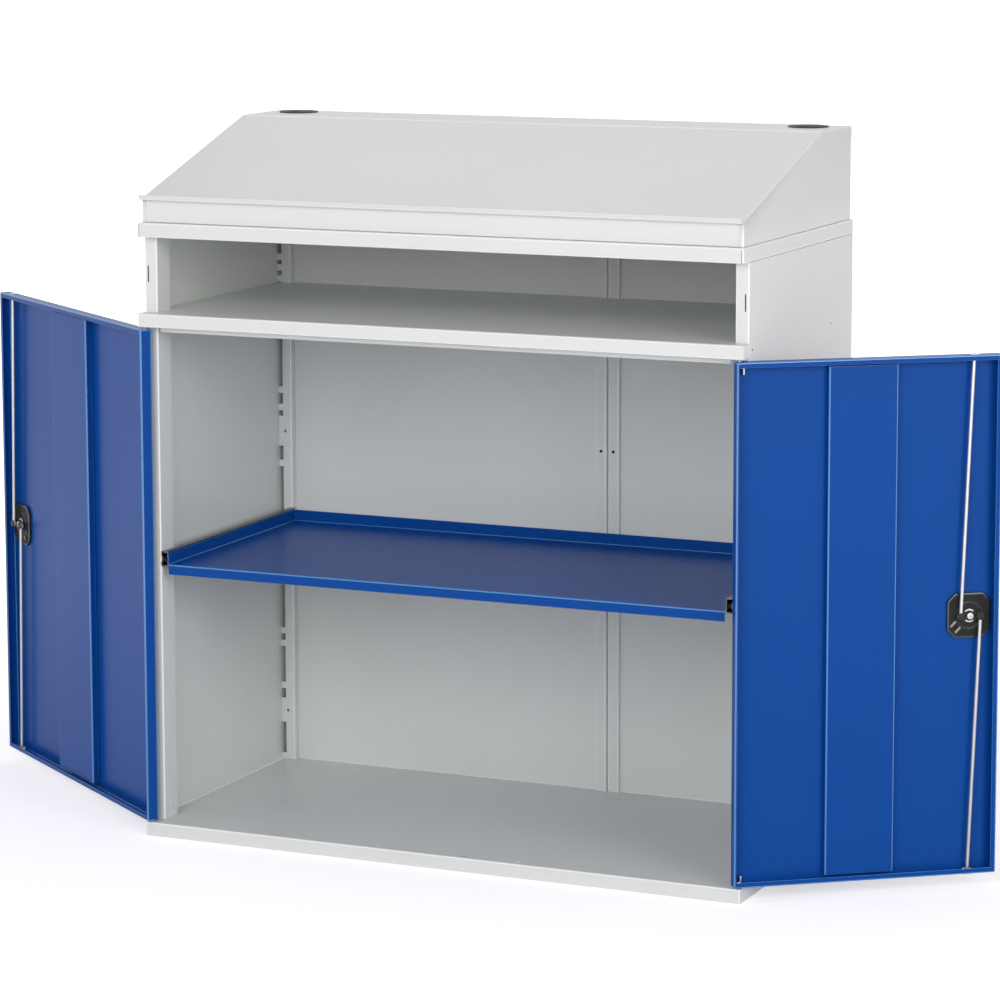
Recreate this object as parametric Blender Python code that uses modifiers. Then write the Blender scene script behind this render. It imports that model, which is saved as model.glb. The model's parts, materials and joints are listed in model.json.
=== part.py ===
"""Workshop desk cabinet: a sheet-steel cupboard with two unequal doors, an open compartment and a desk top.

Metres, +Z up, +X to the right and +Y to the back. The origin is the middle of the underside of the base.
Depths are counted from the front of the base, with back(). Each door is built as if it were closed, on an
empty that stands on its hinge axis, and the empty is then turned to the fully open stop.
"""

import math

import bmesh
import bpy
from mathutils import Matrix, Vector

# Sheet metal
SHEET = 0.0012
FIT = 0.0003  # clearance between pieces that touch

# Carcass
LEFT_BAY = 0.650  # width that the left door covers
RIGHT_BAY = 0.450  # width that the right door covers
DEPTH = 0.530
BASE_HEIGHT = 0.024
CHANNEL_WIDTH = 0.060  # floor channels under the base
CHANNEL_INSET = 0.170  # from the base's ends to the middle of the outer channels
POST_SETBACK = 0.026  # front posts stand behind the doors
POST_WIDTH = 0.0237
POST_RETURN = 0.044
SIDE_REAR_FLANGE = 0.030
POST_SLOT_WIDTH = 0.0025  # upright slot in each post of the open compartment
POST_SLOT_HEIGHT = 0.028
POST_SLOT_INSET = 0.0065
SIDE_HOLE_RADIUS = 0.0025
SIDE_HOLE_DEPTHS = (0.042, 0.420)
REAR_STRIP_WIDTH = 0.0205  # stepped strip where the two rear panels meet
REAR_STRIP_STEP = 0.008
REAR_SEAM = 0.003
STRIP_HOLE_RADIUS = 0.0025
STRIP_HOLE_HEIGHT = 0.640
UPRIGHT_WIDTH = 0.0265
UPRIGHT_DEPTH = 0.016  # from the rear panel to the upright's face
UPRIGHT_OPENING = 0.0092  # width of the openings beside the wall, between the plates and lugs
UPRIGHT_PLATES = ((0.117, 0.046), (0.640, 0.056))  # height of the middle, and length
UPRIGHT_LUGS = (0.164, 0.243, 0.267, 0.580, 0.684, 0.716, 0.921, 0.941, 0.960)
UPRIGHT_LUG_LENGTH = 0.012
UPRIGHT_HOLE_RADIUS = 0.0025

# Fixed shelf over the doors, and the open compartment
LIP_HEIGHT = 0.024
SHELF_REAR_FLANGE = 0.020
STOP_DEPTH = 0.024  # door stop that hangs behind the lip
STOP_DROP = 0.0095
STOP_INSET = 0.006  # the stop ends this far inside the posts
COMPARTMENT_HEIGHT = 0.130

# Top cover
RIM_HEIGHT = 0.025
RIM_FRONT_LIP = 0.032
RIM_LIP = 0.014

# Desk
DESK_INSET = 0.0045  # desk sides stand inside the cover's rim
DESK_FRONT = 0.0108
DESK_FRONT_RISE = 0.0415
DESK_BACK_RISE = 0.159
LEDGE_DEPTH = 0.150
DESK_FRONT_FLANGE = 0.007
DESK_REAR_FLANGE = 0.015
STOP_LIP = 0.009  # upturned edge that keeps paper on the slope
STOP_LIP_DEPTH = 0.0028
LEDGE_FLANGE = 0.020

# Cable outlets in the ledge
OUTLET_INSET = 0.0605  # from the desk's sides to the outlets' middles
OUTLET_DEPTH = 0.480
OUTLET_FLANGE_RADIUS = 0.035
OUTLET_NECK_RADIUS = 0.030
OUTLET_BORE_RADIUS = 0.027
OUTLET_SEAT_RADIUS = 0.024
OUTLET_FLANGE = 0.0016
OUTLET_NECK = 0.014
OUTLET_CAP = 0.003
OUTLET_NOTCH_WIDTH = 0.018
OUTLET_NOTCH_START = 0.012

# Pull-out shelf and its slides
TRAY_HEIGHT = 0.4767  # top of the tray's floor
TRAY_FRONT = 0.025
TRAY_DEPTH = 0.478
TRAY_FRONT_EDGE = 0.0175
TRAY_UPSTAND = 0.020
SLIDE_WIDTH = 0.0127
SLIDE_HEIGHT = 0.027
SLIDE_DROP = 0.0047  # slide's underside below the tray's floor
SLIDE_RUN = 0.0015  # side play of the runner in the slide

# Doors
DOOR_HEIGHT = 0.860
DOOR_FLOOR_GAP = 0.0025
DOOR_HEAD_GAP = 0.003
DOOR_EDGE_GAP = 0.001
DOOR_MEETING_GAP = 0.004
DOOR_RECESS = 0.001
DOOR_THICKNESS = 0.021
DOOR_LIP = 0.009
HINGE_LIP = 0.004  # lip along the hinge edge
OPEN_ANGLE = math.radians(217)

# Stiffener of each door: distance from the hinge edge, and width
LEFT_STIFFENER = (0.257, 0.157)
RIGHT_STIFFENER = (0.155, 0.117)
STIFFENER_FOOT = 0.012
STIFFENER_RECESS = 0.006  # crown behind the door's lip
STIFFENER_GAP = 0.003  # from the lip to the stiffener's ends

# Hinge pins, each a bent wire
HINGE_INSET = 0.008
HINGE_DEPTH = 0.0075
PIN_RADIUS = 0.0022
PIN_REACH = 0.006  # past the sheet that the pin turns in
PIN_TOP_DROP = 0.0095  # from the door's edge to the level run of the crank
PIN_BOTTOM_DROP = 0.0055
PIN_CRANK = 0.0065  # from the hinge axis to the free leg
PIN_BEND = 0.003
PIN_LEG = 0.012  # from the level run to the leg's tip

# Lock: depths are counted from the door's outer face
LOCK_INSET = 0.047  # from the door's free edge
CUP_SIDE = 0.074
CUP_CHAMFER = 0.013
CUP_BEZEL = 0.002
CUP_BACK = 0.0062
CUP_NECK_RADIUS = 0.033
RECESS_RADIUS = 0.030
RECESS_DEPTH = 0.0047
HANDLE_RADIUS = 0.028
HANDLE_PLATE = 0.002
GRIP_LENGTH = 0.050
GRIP_WIDTH = 0.015
GRIP_PROUD = 0.006  # in front of the door's outer face
CORE_RADIUS = 0.0055
CORE_LENGTH = 0.005
KEYWAY_WIDTH = 0.0012
KEYWAY_HEIGHT = 0.007
SPINDLE_RADIUS = 0.0067
DRIVE_SIDE = 0.0094  # square end of the spindle
CAM_THICKNESS = 0.002
CAM_HUB_RADIUS = 0.0085
CAM_ARM_WIDTH = 0.0136
LUG_RADIUS = 0.017  # of the lug pins round the lock's axis
LUG_PIN_RADIUS = 0.003
LUG_HEAD_RADIUS = 0.0063
LUG_HEAD = 0.0015
WASHER_RADIUS = 0.0113  # ring between the cup and the cam
WASHER_THICKNESS = 0.0015
SCREW_HEAD_RADIUS = 0.00575
SCREW_HEAD = 0.003
SCREW_RADIUS = 0.0025
SCREW_LENGTH = 0.0064

# Locking rods
ROD_RADIUS = 0.003
ROD_EYE_RADIUS = 0.0055
ROD_TOP_REACH = 0.0015  # past the door's edge when unlocked
ROD_BOTTOM_REACH = 0.001
ROD_SWAY = 0.0065  # half the length of each slot that a rod passes through
ROD_PLAY = 0.0004
GUIDE_LENGTH = 0.0165
GUIDE_DEPTH = 0.0105
GUIDE_HEIGHT = 0.006

# Places worked out from the sizes above
WIDTH = LEFT_BAY + RIGHT_BAY
HALF = WIDTH / 2
MEETING = LEFT_BAY - HALF  # where the two doors meet
DOOR_BOTTOM = BASE_HEIGHT + DOOR_FLOOR_GAP
DOOR_TOP = DOOR_BOTTOM + DOOR_HEIGHT
LIP_BOTTOM = DOOR_TOP + DOOR_HEAD_GAP
LIP_TOP = LIP_BOTTOM + LIP_HEIGHT
RIM_BOTTOM = LIP_TOP + COMPARTMENT_HEIGHT
RIM_TOP = RIM_BOTTOM + RIM_HEIGHT
LEDGE_TOP = RIM_TOP + DESK_BACK_RISE
LEDGE_FOLD = DEPTH - LEDGE_DEPTH
SLOPE = (LEDGE_TOP - RIM_TOP - DESK_FRONT_RISE) / (LEDGE_FOLD - DESK_FRONT)
DESK_HALF = HALF - DESK_INSET
POST_INNER = HALF - POST_WIDTH
REAR_FACE = DEPTH - SHEET - FIT  # back of the rear panels, inside the sides' flanges
LOCK_HEIGHT = DOOR_BOTTOM + DOOR_HEIGHT / 2
CAM_BACK = CUP_BACK + FIT + WASHER_THICKNESS + FIT  # the washer lies under the cam
EYE_BACK = CAM_BACK + CAM_THICKNESS + FIT
ROD_DEPTH = EYE_BACK + ROD_RADIUS
ROD_LEAN = math.atan2(LUG_RADIUS, DOOR_HEIGHT / 2)
SLOT_DEPTH = ROD_RADIUS + ROD_PLAY  # half the width of each slot that a rod passes through
ROUND = 24  # sides of a round piece
X, Y, Z = Vector((1, 0, 0)), Vector((0, 1, 0)), Vector((0, 0, 1))


# Scene and helpers


def clear_scene():
    for old in list(bpy.data.objects):
        bpy.data.objects.remove(old)


def new_collection(name):
    collection = bpy.data.collections.new(name)
    bpy.context.scene.collection.children.link(collection)
    return collection


def new_material(name, color, roughness, metallic=0.0):
    material = bpy.data.materials.new(name)
    material.use_nodes = True
    shader = material.node_tree.nodes["Principled BSDF"]
    shader.inputs["Base Color"].default_value = (*color, 1.0)
    shader.inputs["Roughness"].default_value = roughness
    shader.inputs["Metallic"].default_value = metallic
    return material


clear_scene()
PARTS = new_collection("workshop_desk_cabinet")
CUTTERS = new_collection("cutters")
GREY = new_material("grey_paint", (0.76, 0.77, 0.78), 0.42)
BLUE = new_material("blue_paint", (0.013, 0.07, 0.35), 0.38)
BLACK = new_material("black_plastic", (0.02, 0.02, 0.022), 0.5)
ZINC = new_material("zinc_plate", (0.75, 0.75, 0.74), 0.35, 0.9)
STEEL = new_material("slide_steel", (0.55, 0.56, 0.57), 0.35, 1.0)
CAM_STEEL = new_material("dark_cam_steel", (0.09, 0.09, 0.095), 0.45, 0.8)
NYLON = new_material("white_nylon", (0.82, 0.82, 0.8), 0.5)


def back(depth):
    """Y of a place this far behind the front of the base."""
    return depth - DEPTH / 2


def add_object(name, data, material=None, parent=None):
    """A sub-part with its material, or a cutter where no material is given."""
    made = bpy.data.objects.new(name, data)
    made.parent = parent
    if material is None:
        CUTTERS.objects.link(made)
        made.hide_render = True
        made.display_type = "WIRE"
    else:
        PARTS.objects.link(made)
        data.materials.append(material)
    return made


def add_empty(name, location, turn, parent=None):
    empty = bpy.data.objects.new(name, None)
    PARTS.objects.link(empty)
    empty.parent = parent
    empty.location = location
    empty.rotation_euler = turn
    return empty


def mesh_from(bm, name, smooth=False):
    mesh = bpy.data.meshes.new(name)
    bm.to_mesh(mesh)
    bm.free()
    if smooth:
        mesh.shade_smooth()
        mesh.set_sharp_from_angle(angle=math.radians(35))
    return mesh


def box(name, corner, opposite, material=None, parent=None):
    low, high = Vector(corner), Vector(opposite)
    size = Matrix.Diagonal([abs(b - a) for a, b in zip(low, high)] + [1])
    bm = bmesh.new()
    bmesh.ops.create_cube(bm, size=1, matrix=Matrix.Translation((low + high) / 2) @ size)
    return add_object(name, mesh_from(bm, name), material, parent)


def cylinder(name, radius, start, axis, length, material=None, parent=None, sides=ROUND):
    axis = Vector(axis)
    middle = Vector(start) + axis * (length / 2)
    turn = axis.to_track_quat("Z", "Y").to_matrix().to_4x4()
    bm = bmesh.new()
    bmesh.ops.create_cone(
        bm, cap_ends=True, segments=sides, radius1=radius, radius2=radius, depth=length,
        matrix=Matrix.Translation(middle) @ turn,
    )
    return add_object(name, mesh_from(bm, name, smooth=True), material, parent)


def turned(name, profile, centre, material):
    """A ring whose section is a closed profile of (radius, height), turned about a vertical axis."""
    bm = bmesh.new()
    ends = [bm.verts.new((radius, 0, height)) for radius, height in profile]
    for first, second in zip(ends, ends[1:] + ends[:1]):
        bm.edges.new((first, second))
    made = add_object(name, mesh_from(bm, name), material)
    made.location = centre
    screw = made.modifiers.new("turn", "SCREW")
    screw.steps = screw.render_steps = ROUND
    screw.use_merge_vertices = True
    screw.merge_threshold = 0.00001
    return made


def folded_sheet(name, path, along, start, stop, metal, material, parent=None):
    """A sheet bent along a path in the plane across an axis. The path is the sheet's outer face, and metal is
    +1 where the metal lies to the left of the path and -1 where it lies to the right."""
    across, up = [axis for axis in (X, Y, Z) if axis != along]
    bm = bmesh.new()
    ends = [bm.verts.new(across * a + up * b + along * start) for a, b in path]
    edges = [bm.edges.new(pair) for pair in zip(ends, ends[1:])]
    swept = bmesh.ops.extrude_edge_only(bm, edges=edges)["geom"]
    moved = [part for part in swept if isinstance(part, bmesh.types.BMVert)]
    bmesh.ops.translate(bm, vec=along * (stop - start), verts=moved)
    bmesh.ops.recalc_face_normals(bm, faces=bm.faces)
    first = edges[0].link_faces[0]
    run = ends[1].co - ends[0].co
    left = up * run.dot(across) - across * run.dot(up)
    if first.normal.dot(left) * metal > 0:
        bmesh.ops.reverse_faces(bm, faces=bm.faces)
    made = add_object(name, mesh_from(bm, name), material, parent)
    solid = made.modifiers.new("thickness", "SOLIDIFY")
    solid.thickness = SHEET
    solid.offset = -1
    solid.use_even_offset = True
    return made


def plate(name, outline, along, start, thickness, material=None, parent=None):
    """A flat outline, given across an axis, with a thickness along that axis."""
    across, up = [axis for axis in (X, Y, Z) if axis != along]
    curve = bpy.data.curves.new(name, "CURVE")
    curve.dimensions = "2D"
    curve.fill_mode = "BOTH"
    curve.extrude = thickness / 2
    spline = curve.splines.new("POLY")
    spline.points.add(len(outline) - 1)
    for point, (a, b) in zip(spline.points, outline):
        point.co = (a, b, 0, 1)
    spline.use_cyclic_u = True
    drawn = bpy.data.objects.new(name + "_outline", curve)
    bpy.context.scene.collection.objects.link(drawn)
    bpy.context.view_layer.update()
    mesh = bpy.data.meshes.new_from_object(drawn.evaluated_get(bpy.context.evaluated_depsgraph_get()))
    bpy.data.objects.remove(drawn)
    turn = Matrix((across, up, along)).transposed().to_4x4()
    bm = bmesh.new()
    bm.from_mesh(mesh)
    bpy.data.meshes.remove(mesh)
    bmesh.ops.transform(bm, matrix=Matrix.Translation(along * (start + thickness / 2)) @ turn, verts=bm.verts)
    bmesh.ops.remove_doubles(bm, verts=bm.verts, dist=0.00001)
    bmesh.ops.recalc_face_normals(bm, faces=bm.faces)
    return add_object(name, mesh_from(bm, name), material, parent)


def wire(name, points, radius, material, parent):
    curve = bpy.data.curves.new(name, "CURVE")
    curve.dimensions = "3D"
    curve.bevel_depth = radius
    curve.bevel_resolution = 2
    curve.use_fill_caps = True
    spline = curve.splines.new("POLY")
    spline.points.add(len(points) - 1)
    for point, place in zip(spline.points, points):
        point.co = (*place, 1)
    return add_object(name, curve, material, parent)


def boolean(target, tool, operation):
    step = target.modifiers.new(tool.name, "BOOLEAN")
    step.operation = operation
    step.object = tool


def cut(target, *tools):
    for tool in tools:
        boolean(target, tool, "DIFFERENCE")


def join(target, *tools):
    for tool in tools:
        boolean(target, tool, "UNION")


# Doors and locks, as places that the carcass needs too


class Door:
    """One door's name, side (-1 left, +1 right), width and stiffener, with places on the closed door."""

    def __init__(self, name, side, bay, stiffener):
        self.name = name
        self.side = side
        self.width = bay - DOOR_EDGE_GAP - DOOR_MEETING_GAP / 2
        self.stiffener = stiffener
        self.hinge = Vector((side * (HALF - DOOR_EDGE_GAP - HINGE_INSET), back(DOOR_RECESS + HINGE_DEPTH), 0))
        self.lock_from_hinge = self.width - LOCK_INSET

    def at(self, along, depth, height):
        """A place from the hinge edge, from the outer face and from the floor, in the hinge's own frame."""
        return Vector((-self.side * (along - HINGE_INSET), depth - HINGE_DEPTH, height))

    def strike(self):
        """Where the locking rods enter the carcass."""
        return self.hinge + self.at(self.lock_from_hinge, ROD_DEPTH, 0)


DOORS = (
    Door("left", -1, LEFT_BAY, LEFT_STIFFENER),
    Door("right", 1, RIGHT_BAY, RIGHT_STIFFENER),
)


def rod_slot(name, centre, low, high, parent=None):
    reach = Vector((ROD_SWAY, SLOT_DEPTH, 0))
    return box(name, centre - reach + Z * low, centre + reach + Z * high, parent=parent)


def pin_and_rod_holes(target, low, high):
    """Holes in the carcass for both doors' hinge pins and locking rods."""
    for door in DOORS:
        name = f"{target.name}_{door.name}"
        cut(target, cylinder(name + "_pin_hole", PIN_RADIUS + FIT, door.hinge + Z * low, Z, high - low))
        cut(target, rod_slot(name + "_rod_slot", door.strike(), low, high))


# Base


def build_base():
    tray = box("base_tray", (-HALF, back(0), 0), (HALF, back(DEPTH), BASE_HEIGHT), GREY)
    hollow = box(
        "base_tray_hollow",
        (-HALF + SHEET, back(SHEET), -SHEET),
        (HALF - SHEET, back(DEPTH - SHEET), BASE_HEIGHT - SHEET),
    )
    cut(tray, hollow)
    pin_and_rod_holes(tray, BASE_HEIGHT - 2 * SHEET, BASE_HEIGHT + SHEET)
    top = BASE_HEIGHT - SHEET - FIT
    outer = HALF - CHANNEL_INSET
    for number, place in enumerate((-outer, 0, outer), 1):
        low, high = place - CHANNEL_WIDTH / 2, place + CHANNEL_WIDTH / 2
        path = ((low, top), (low, 0), (high, 0), (high, top))
        ends = back(SHEET + FIT), back(DEPTH - SHEET - FIT)
        folded_sheet(f"base_channel_{number}", path, Y, *ends, 1, GREY)


# Sides, rear wall and uprights


def build_side(name, side):
    path = (
        (side * POST_INNER, back(POST_SETBACK + POST_RETURN)),
        (side * POST_INNER, back(POST_SETBACK)),
        (side * HALF, back(POST_SETBACK)),
        (side * HALF, back(DEPTH)),
        (side * (HALF - SIDE_REAR_FLANGE), back(DEPTH)),
    )
    panel = folded_sheet(f"{name}_side_panel", path, Z, BASE_HEIGHT + FIT, RIM_BOTTOM - FIT, side, GREY)
    slot_x = side * (HALF - POST_SLOT_INSET)
    slot_z = LIP_TOP + COMPARTMENT_HEIGHT / 2
    slot = Vector((POST_SLOT_WIDTH / 2, SHEET * 2, POST_SLOT_HEIGHT / 2))
    centre = Vector((slot_x, back(POST_SETBACK), slot_z))
    cut(panel, box(f"{name}_post_slot", centre - slot, centre + slot))
    for number, depth in enumerate(SIDE_HOLE_DEPTHS, 1):
        start = Vector((side * (HALF - 2 * SHEET), back(depth), (LIP_BOTTOM + LIP_TOP) / 2))
        hole_name = f"{name}_side_hole_{number}"
        cut(panel, cylinder(hole_name, SIDE_HOLE_RADIUS, start, X * side, 4 * SHEET, sides=12))


def build_rear_panel(name, side):
    """A flat panel that ends at the seam in a strip stepped forward. Side is the way it runs to the wall."""
    seam = MEETING + side * REAR_SEAM / 2
    strip = seam + side * REAR_STRIP_WIDTH
    wall = side * (HALF - SHEET - FIT)
    rear, front = back(REAR_FACE), back(REAR_FACE - REAR_STRIP_STEP)
    inner_seam = seam + side * SHEET
    path = ((wall, rear), (strip, rear), (strip, front), (inner_seam, front), (inner_seam, rear))
    panel = folded_sheet(f"{name}_rear_panel", path, Z, BASE_HEIGHT + FIT, RIM_BOTTOM - FIT, side, GREY)
    start = Vector((seam + side * REAR_STRIP_WIDTH / 2, front - 2 * SHEET, STRIP_HOLE_HEIGHT))
    cut(panel, cylinder(f"{name}_strip_hole", STRIP_HOLE_RADIUS, start, Y, 3 * SHEET, sides=12))


def build_upright(name, side):
    """Hollow corner strip in which shelves hang: its face is open beside the wall, between the plates and lugs."""
    wall, rear = HALF - SHEET - FIT, REAR_FACE - SHEET - FIT
    bottom, top = BASE_HEIGHT + FIT, RIM_BOTTOM - FIT
    face = rear - UPRIGHT_DEPTH
    path = (
        (side * wall, back(face)),
        (side * (wall - UPRIGHT_WIDTH), back(face)),
        (side * (wall - UPRIGHT_WIDTH), back(rear)),
    )
    strip = folded_sheet(f"{name}_rear_upright", path, Z, bottom, top, -side, GREY)
    kept = [(height, length) for height, length in UPRIGHT_PLATES]
    kept += [(height, UPRIGHT_LUG_LENGTH) for height in UPRIGHT_LUGS]
    low = bottom + UPRIGHT_LUG_LENGTH
    for number, (height, length) in enumerate(sorted(kept) + [(top, 2 * UPRIGHT_LUG_LENGTH)], 1):
        gap = box(
            f"{name}_upright_gap_{number}",
            (side * (wall + SHEET), back(face - SHEET), low),
            (side * (wall - UPRIGHT_OPENING), back(face + 2 * SHEET), height - length / 2),
        )
        cut(strip, gap)
        low = height + length / 2
    for number, (height, _) in enumerate(UPRIGHT_PLATES, 1):
        start = Vector((side * (wall - UPRIGHT_WIDTH / 2), back(face - SHEET), height))
        hole = cylinder(f"{name}_upright_hole_{number}", UPRIGHT_HOLE_RADIUS, start, Y, 4 * SHEET, sides=12)
        cut(strip, hole)


# Fixed shelf and top cover


def build_fixed_shelf():
    rear = REAR_FACE - SHEET - FIT
    path = (
        (back(STOP_DEPTH), LIP_BOTTOM - STOP_DROP),
        (back(STOP_DEPTH), LIP_BOTTOM),
        (back(0), LIP_BOTTOM),
        (back(0), LIP_TOP),
        (back(rear), LIP_TOP),
        (back(rear), LIP_TOP - SHELF_REAR_FLANGE),
    )
    shelf = folded_sheet("fixed_shelf", path, X, -HALF, HALF, -1, GREY)
    low, high = LIP_BOTTOM - 2 * STOP_DROP, LIP_TOP + SHEET
    post = back(POST_SETBACK + POST_RETURN + FIT)
    upright = back(rear - UPRIGHT_DEPTH - FIT)
    for door in DOORS:
        side, name = door.side, door.name
        out = side * (HALF + SHEET)
        places = (
            ("post", POST_INNER - FIT, back(POST_SETBACK - FIT), post, low),
            ("wall", HALF - SHEET - FIT, post, upright, low),
            ("upright", HALF - SHEET - 2 * FIT - UPRIGHT_WIDTH, upright, back(DEPTH), low),
        )
        for place, inner, front, behind, floor in places:
            cut(shelf, box(f"shelf_{name}_{place}_notch", (side * inner, front, floor), (out, behind, high)))
        stop_end = box(
            f"shelf_{name}_stop_end",
            (side * (POST_INNER - STOP_INSET), back(STOP_DEPTH - SHEET), low),
            (out, back(STOP_DEPTH + 2 * SHEET), LIP_BOTTOM - FIT),
        )
        cut(shelf, stop_end)
        lip_end = box(
            f"shelf_{name}_lip_end",
            (side * (HALF - SHEET), back(SHEET / 2), LIP_BOTTOM + SHEET / 2),
            (side * (HALF - FIT), back(POST_SETBACK - SHEET), LIP_TOP - SHEET / 2),
        )
        join(shelf, lip_end)
    reach = REAR_SEAM / 2 + REAR_STRIP_WIDTH + FIT
    strips = box(
        "shelf_strip_notch",
        (MEETING - reach - SHEET, back(REAR_FACE - REAR_STRIP_STEP - SHEET - FIT), low),
        (MEETING + reach + SHEET, back(DEPTH), high),
    )
    cut(shelf, strips)
    pin_and_rod_holes(shelf, LIP_BOTTOM - SHEET, LIP_BOTTOM + 2 * SHEET)


def build_top_cover():
    cover = box("top_cover", (-HALF, back(0), RIM_BOTTOM), (HALF, back(DEPTH), RIM_TOP), GREY)
    hollow = box(
        "cover_hollow",
        (-HALF + SHEET, back(SHEET), RIM_BOTTOM + SHEET),
        (HALF - SHEET, back(DEPTH - SHEET), RIM_TOP - SHEET),
    )
    mouth = box(
        "cover_mouth",
        (-HALF + RIM_LIP, back(RIM_FRONT_LIP), RIM_BOTTOM - SHEET),
        (HALF - RIM_LIP, back(DEPTH - RIM_LIP), RIM_BOTTOM + 2 * SHEET),
    )
    cut(cover, hollow, mouth)


# Desk


def slope_height(depth):
    """Height of the desk's writing slope at a depth."""
    return RIM_TOP + DESK_FRONT_RISE + (depth - DESK_FRONT) * SLOPE


def under_slope(depth):
    """Height just under the slope's sheet at a depth."""
    return slope_height(depth) - (SHEET + FIT) * math.hypot(1, SLOPE)


def build_desk():
    foot = RIM_TOP + FIT
    ledge = LEDGE_TOP - SHEET - FIT
    rear = DEPTH - SHEET - FIT
    fold = DESK_FRONT + (ledge - under_slope(DESK_FRONT)) / SLOPE
    over = ledge + DESK_BACK_RISE
    above = (
        (back(0), over), (back(0), under_slope(0)), (back(fold), ledge),
        (back(DEPTH + SHEET), ledge), (back(DEPTH + SHEET), over),
    )
    for name, side in (("left", -1), ("right", 1)):
        path = (
            (side * (DESK_HALF - DESK_FRONT_FLANGE), back(DESK_FRONT)),
            (side * DESK_HALF, back(DESK_FRONT)),
            (side * DESK_HALF, back(rear)),
            (side * (DESK_HALF - DESK_REAR_FLANGE), back(rear)),
        )
        panel = folded_sheet(f"desk_{name}_side", path, Z, foot, ledge + SHEET, side, GREY)
        cut(panel, plate(f"desk_{name}_top_cut", above, X, -WIDTH, 2 * WIDTH))
    inner = DESK_HALF - SHEET - FIT
    front = DESK_FRONT + SHEET + FIT
    box("desk_front", (-inner, back(front), foot), (inner, back(front + SHEET), under_slope(front)), GREY)
    behind = rear - SHEET - FIT
    box("desk_back", (-inner, back(behind - SHEET), foot), (inner, back(behind), ledge), GREY)

    lean = math.atan(SLOPE)
    stop_foot = Vector((back(STOP_LIP_DEPTH), slope_height(STOP_LIP_DEPTH)))
    stop_top = stop_foot + Vector((-math.sin(lean), math.cos(lean))) * STOP_LIP
    path = (
        stop_top,
        stop_foot,
        (back(LEDGE_FOLD), LEDGE_TOP),
        (back(DEPTH), LEDGE_TOP),
        (back(DEPTH), LEDGE_TOP - LEDGE_FLANGE),
    )
    top = folded_sheet("desk_top", path, X, -DESK_HALF, DESK_HALF, -1, GREY)
    for name, side in (("left", -1), ("right", 1)):
        build_outlet(name, Vector((side * (DESK_HALF - OUTLET_INSET), back(OUTLET_DEPTH), LEDGE_TOP)), top)


def build_outlet(name, centre, top):
    """A cable outlet: a ring through the ledge, and a loose cap with a notch on the ring's seat."""
    through = 2 * OUTLET_NECK
    hole_radius = OUTLET_NECK_RADIUS + FIT
    cut(top, cylinder(f"{name}_outlet_hole", hole_radius, centre - Z * OUTLET_NECK, Z, through))
    seat = OUTLET_FLANGE - OUTLET_CAP
    profile = (
        (OUTLET_FLANGE_RADIUS, FIT + OUTLET_FLANGE),
        (OUTLET_FLANGE_RADIUS, FIT),
        (OUTLET_NECK_RADIUS, FIT),
        (OUTLET_NECK_RADIUS, -OUTLET_NECK),
        (OUTLET_SEAT_RADIUS, -OUTLET_NECK),
        (OUTLET_SEAT_RADIUS, seat),
        (OUTLET_BORE_RADIUS, seat),
        (OUTLET_BORE_RADIUS, FIT + OUTLET_FLANGE),
    )
    turned(f"{name}_outlet_ring", profile, centre, BLACK)
    cap_foot = centre + Z * (seat + FIT)
    cap = cylinder(f"{name}_outlet_cap", OUTLET_BORE_RADIUS - FIT, cap_foot, Z, OUTLET_CAP, BLACK)
    notch = box(
        f"{name}_outlet_notch",
        centre + Vector((-OUTLET_NOTCH_WIDTH / 2, -OUTLET_FLANGE_RADIUS, seat - OUTLET_CAP)),
        centre + Vector((OUTLET_NOTCH_WIDTH / 2, -OUTLET_NOTCH_START, seat + 2 * OUTLET_CAP)),
    )
    cut(cap, notch)


# Pull-out shelf


def build_pull_out_shelf():
    slide_outer = POST_INNER - FIT
    runner_outer = slide_outer - SLIDE_WIDTH  # outer face of the tray's sides
    half = runner_outer - FIT
    floor = TRAY_HEIGHT - SHEET
    rear = TRAY_FRONT + TRAY_DEPTH
    path = (
        (back(TRAY_FRONT), TRAY_HEIGHT - TRAY_FRONT_EDGE),
        (back(TRAY_FRONT), TRAY_HEIGHT),
        (back(rear - SHEET), TRAY_HEIGHT),
        (back(rear - SHEET), TRAY_HEIGHT + TRAY_UPSTAND),
    )
    tray = folded_sheet("shelf_tray", path, X, -half, half, -1, BLUE)
    for name, side in (("left", -1), ("right", 1)):
        upstand = box(
            f"tray_{name}_upstand",
            (side * half, back(TRAY_FRONT + SHEET), floor),
            (side * (half - SHEET), back(rear), TRAY_HEIGHT + TRAY_UPSTAND),
        )
        join(tray, upstand)
        build_slide(name, side, slide_outer, runner_outer)


def build_slide(name, side, outer, inner):
    """A channel that the carcass holds, open towards the tray, and the tray's runner inside it."""
    low = TRAY_HEIGHT - SLIDE_DROP
    high = low + SLIDE_HEIGHT
    front, rear = back(POST_SETBACK), back(REAR_FACE - SHEET - FIT - UPRIGHT_DEPTH)
    mouth = inner + FIT
    path = ((side * mouth, low), (side * outer, low), (side * outer, high), (side * mouth, high))
    folded_sheet(f"{name}_slide_rail", path, Y, front, rear - FIT, side, STEEL)
    low, high = low + SHEET + FIT, high - SHEET - FIT
    tip = side * (outer - SHEET - SLIDE_RUN)
    path = ((tip, low), (side * inner, low), (side * inner, high), (tip, high))
    ends = back(TRAY_FRONT + SHEET), back(TRAY_FRONT + TRAY_DEPTH)
    folded_sheet(f"{name}_slide_runner", path, Y, *ends, -side, STEEL)


# Doors


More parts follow.
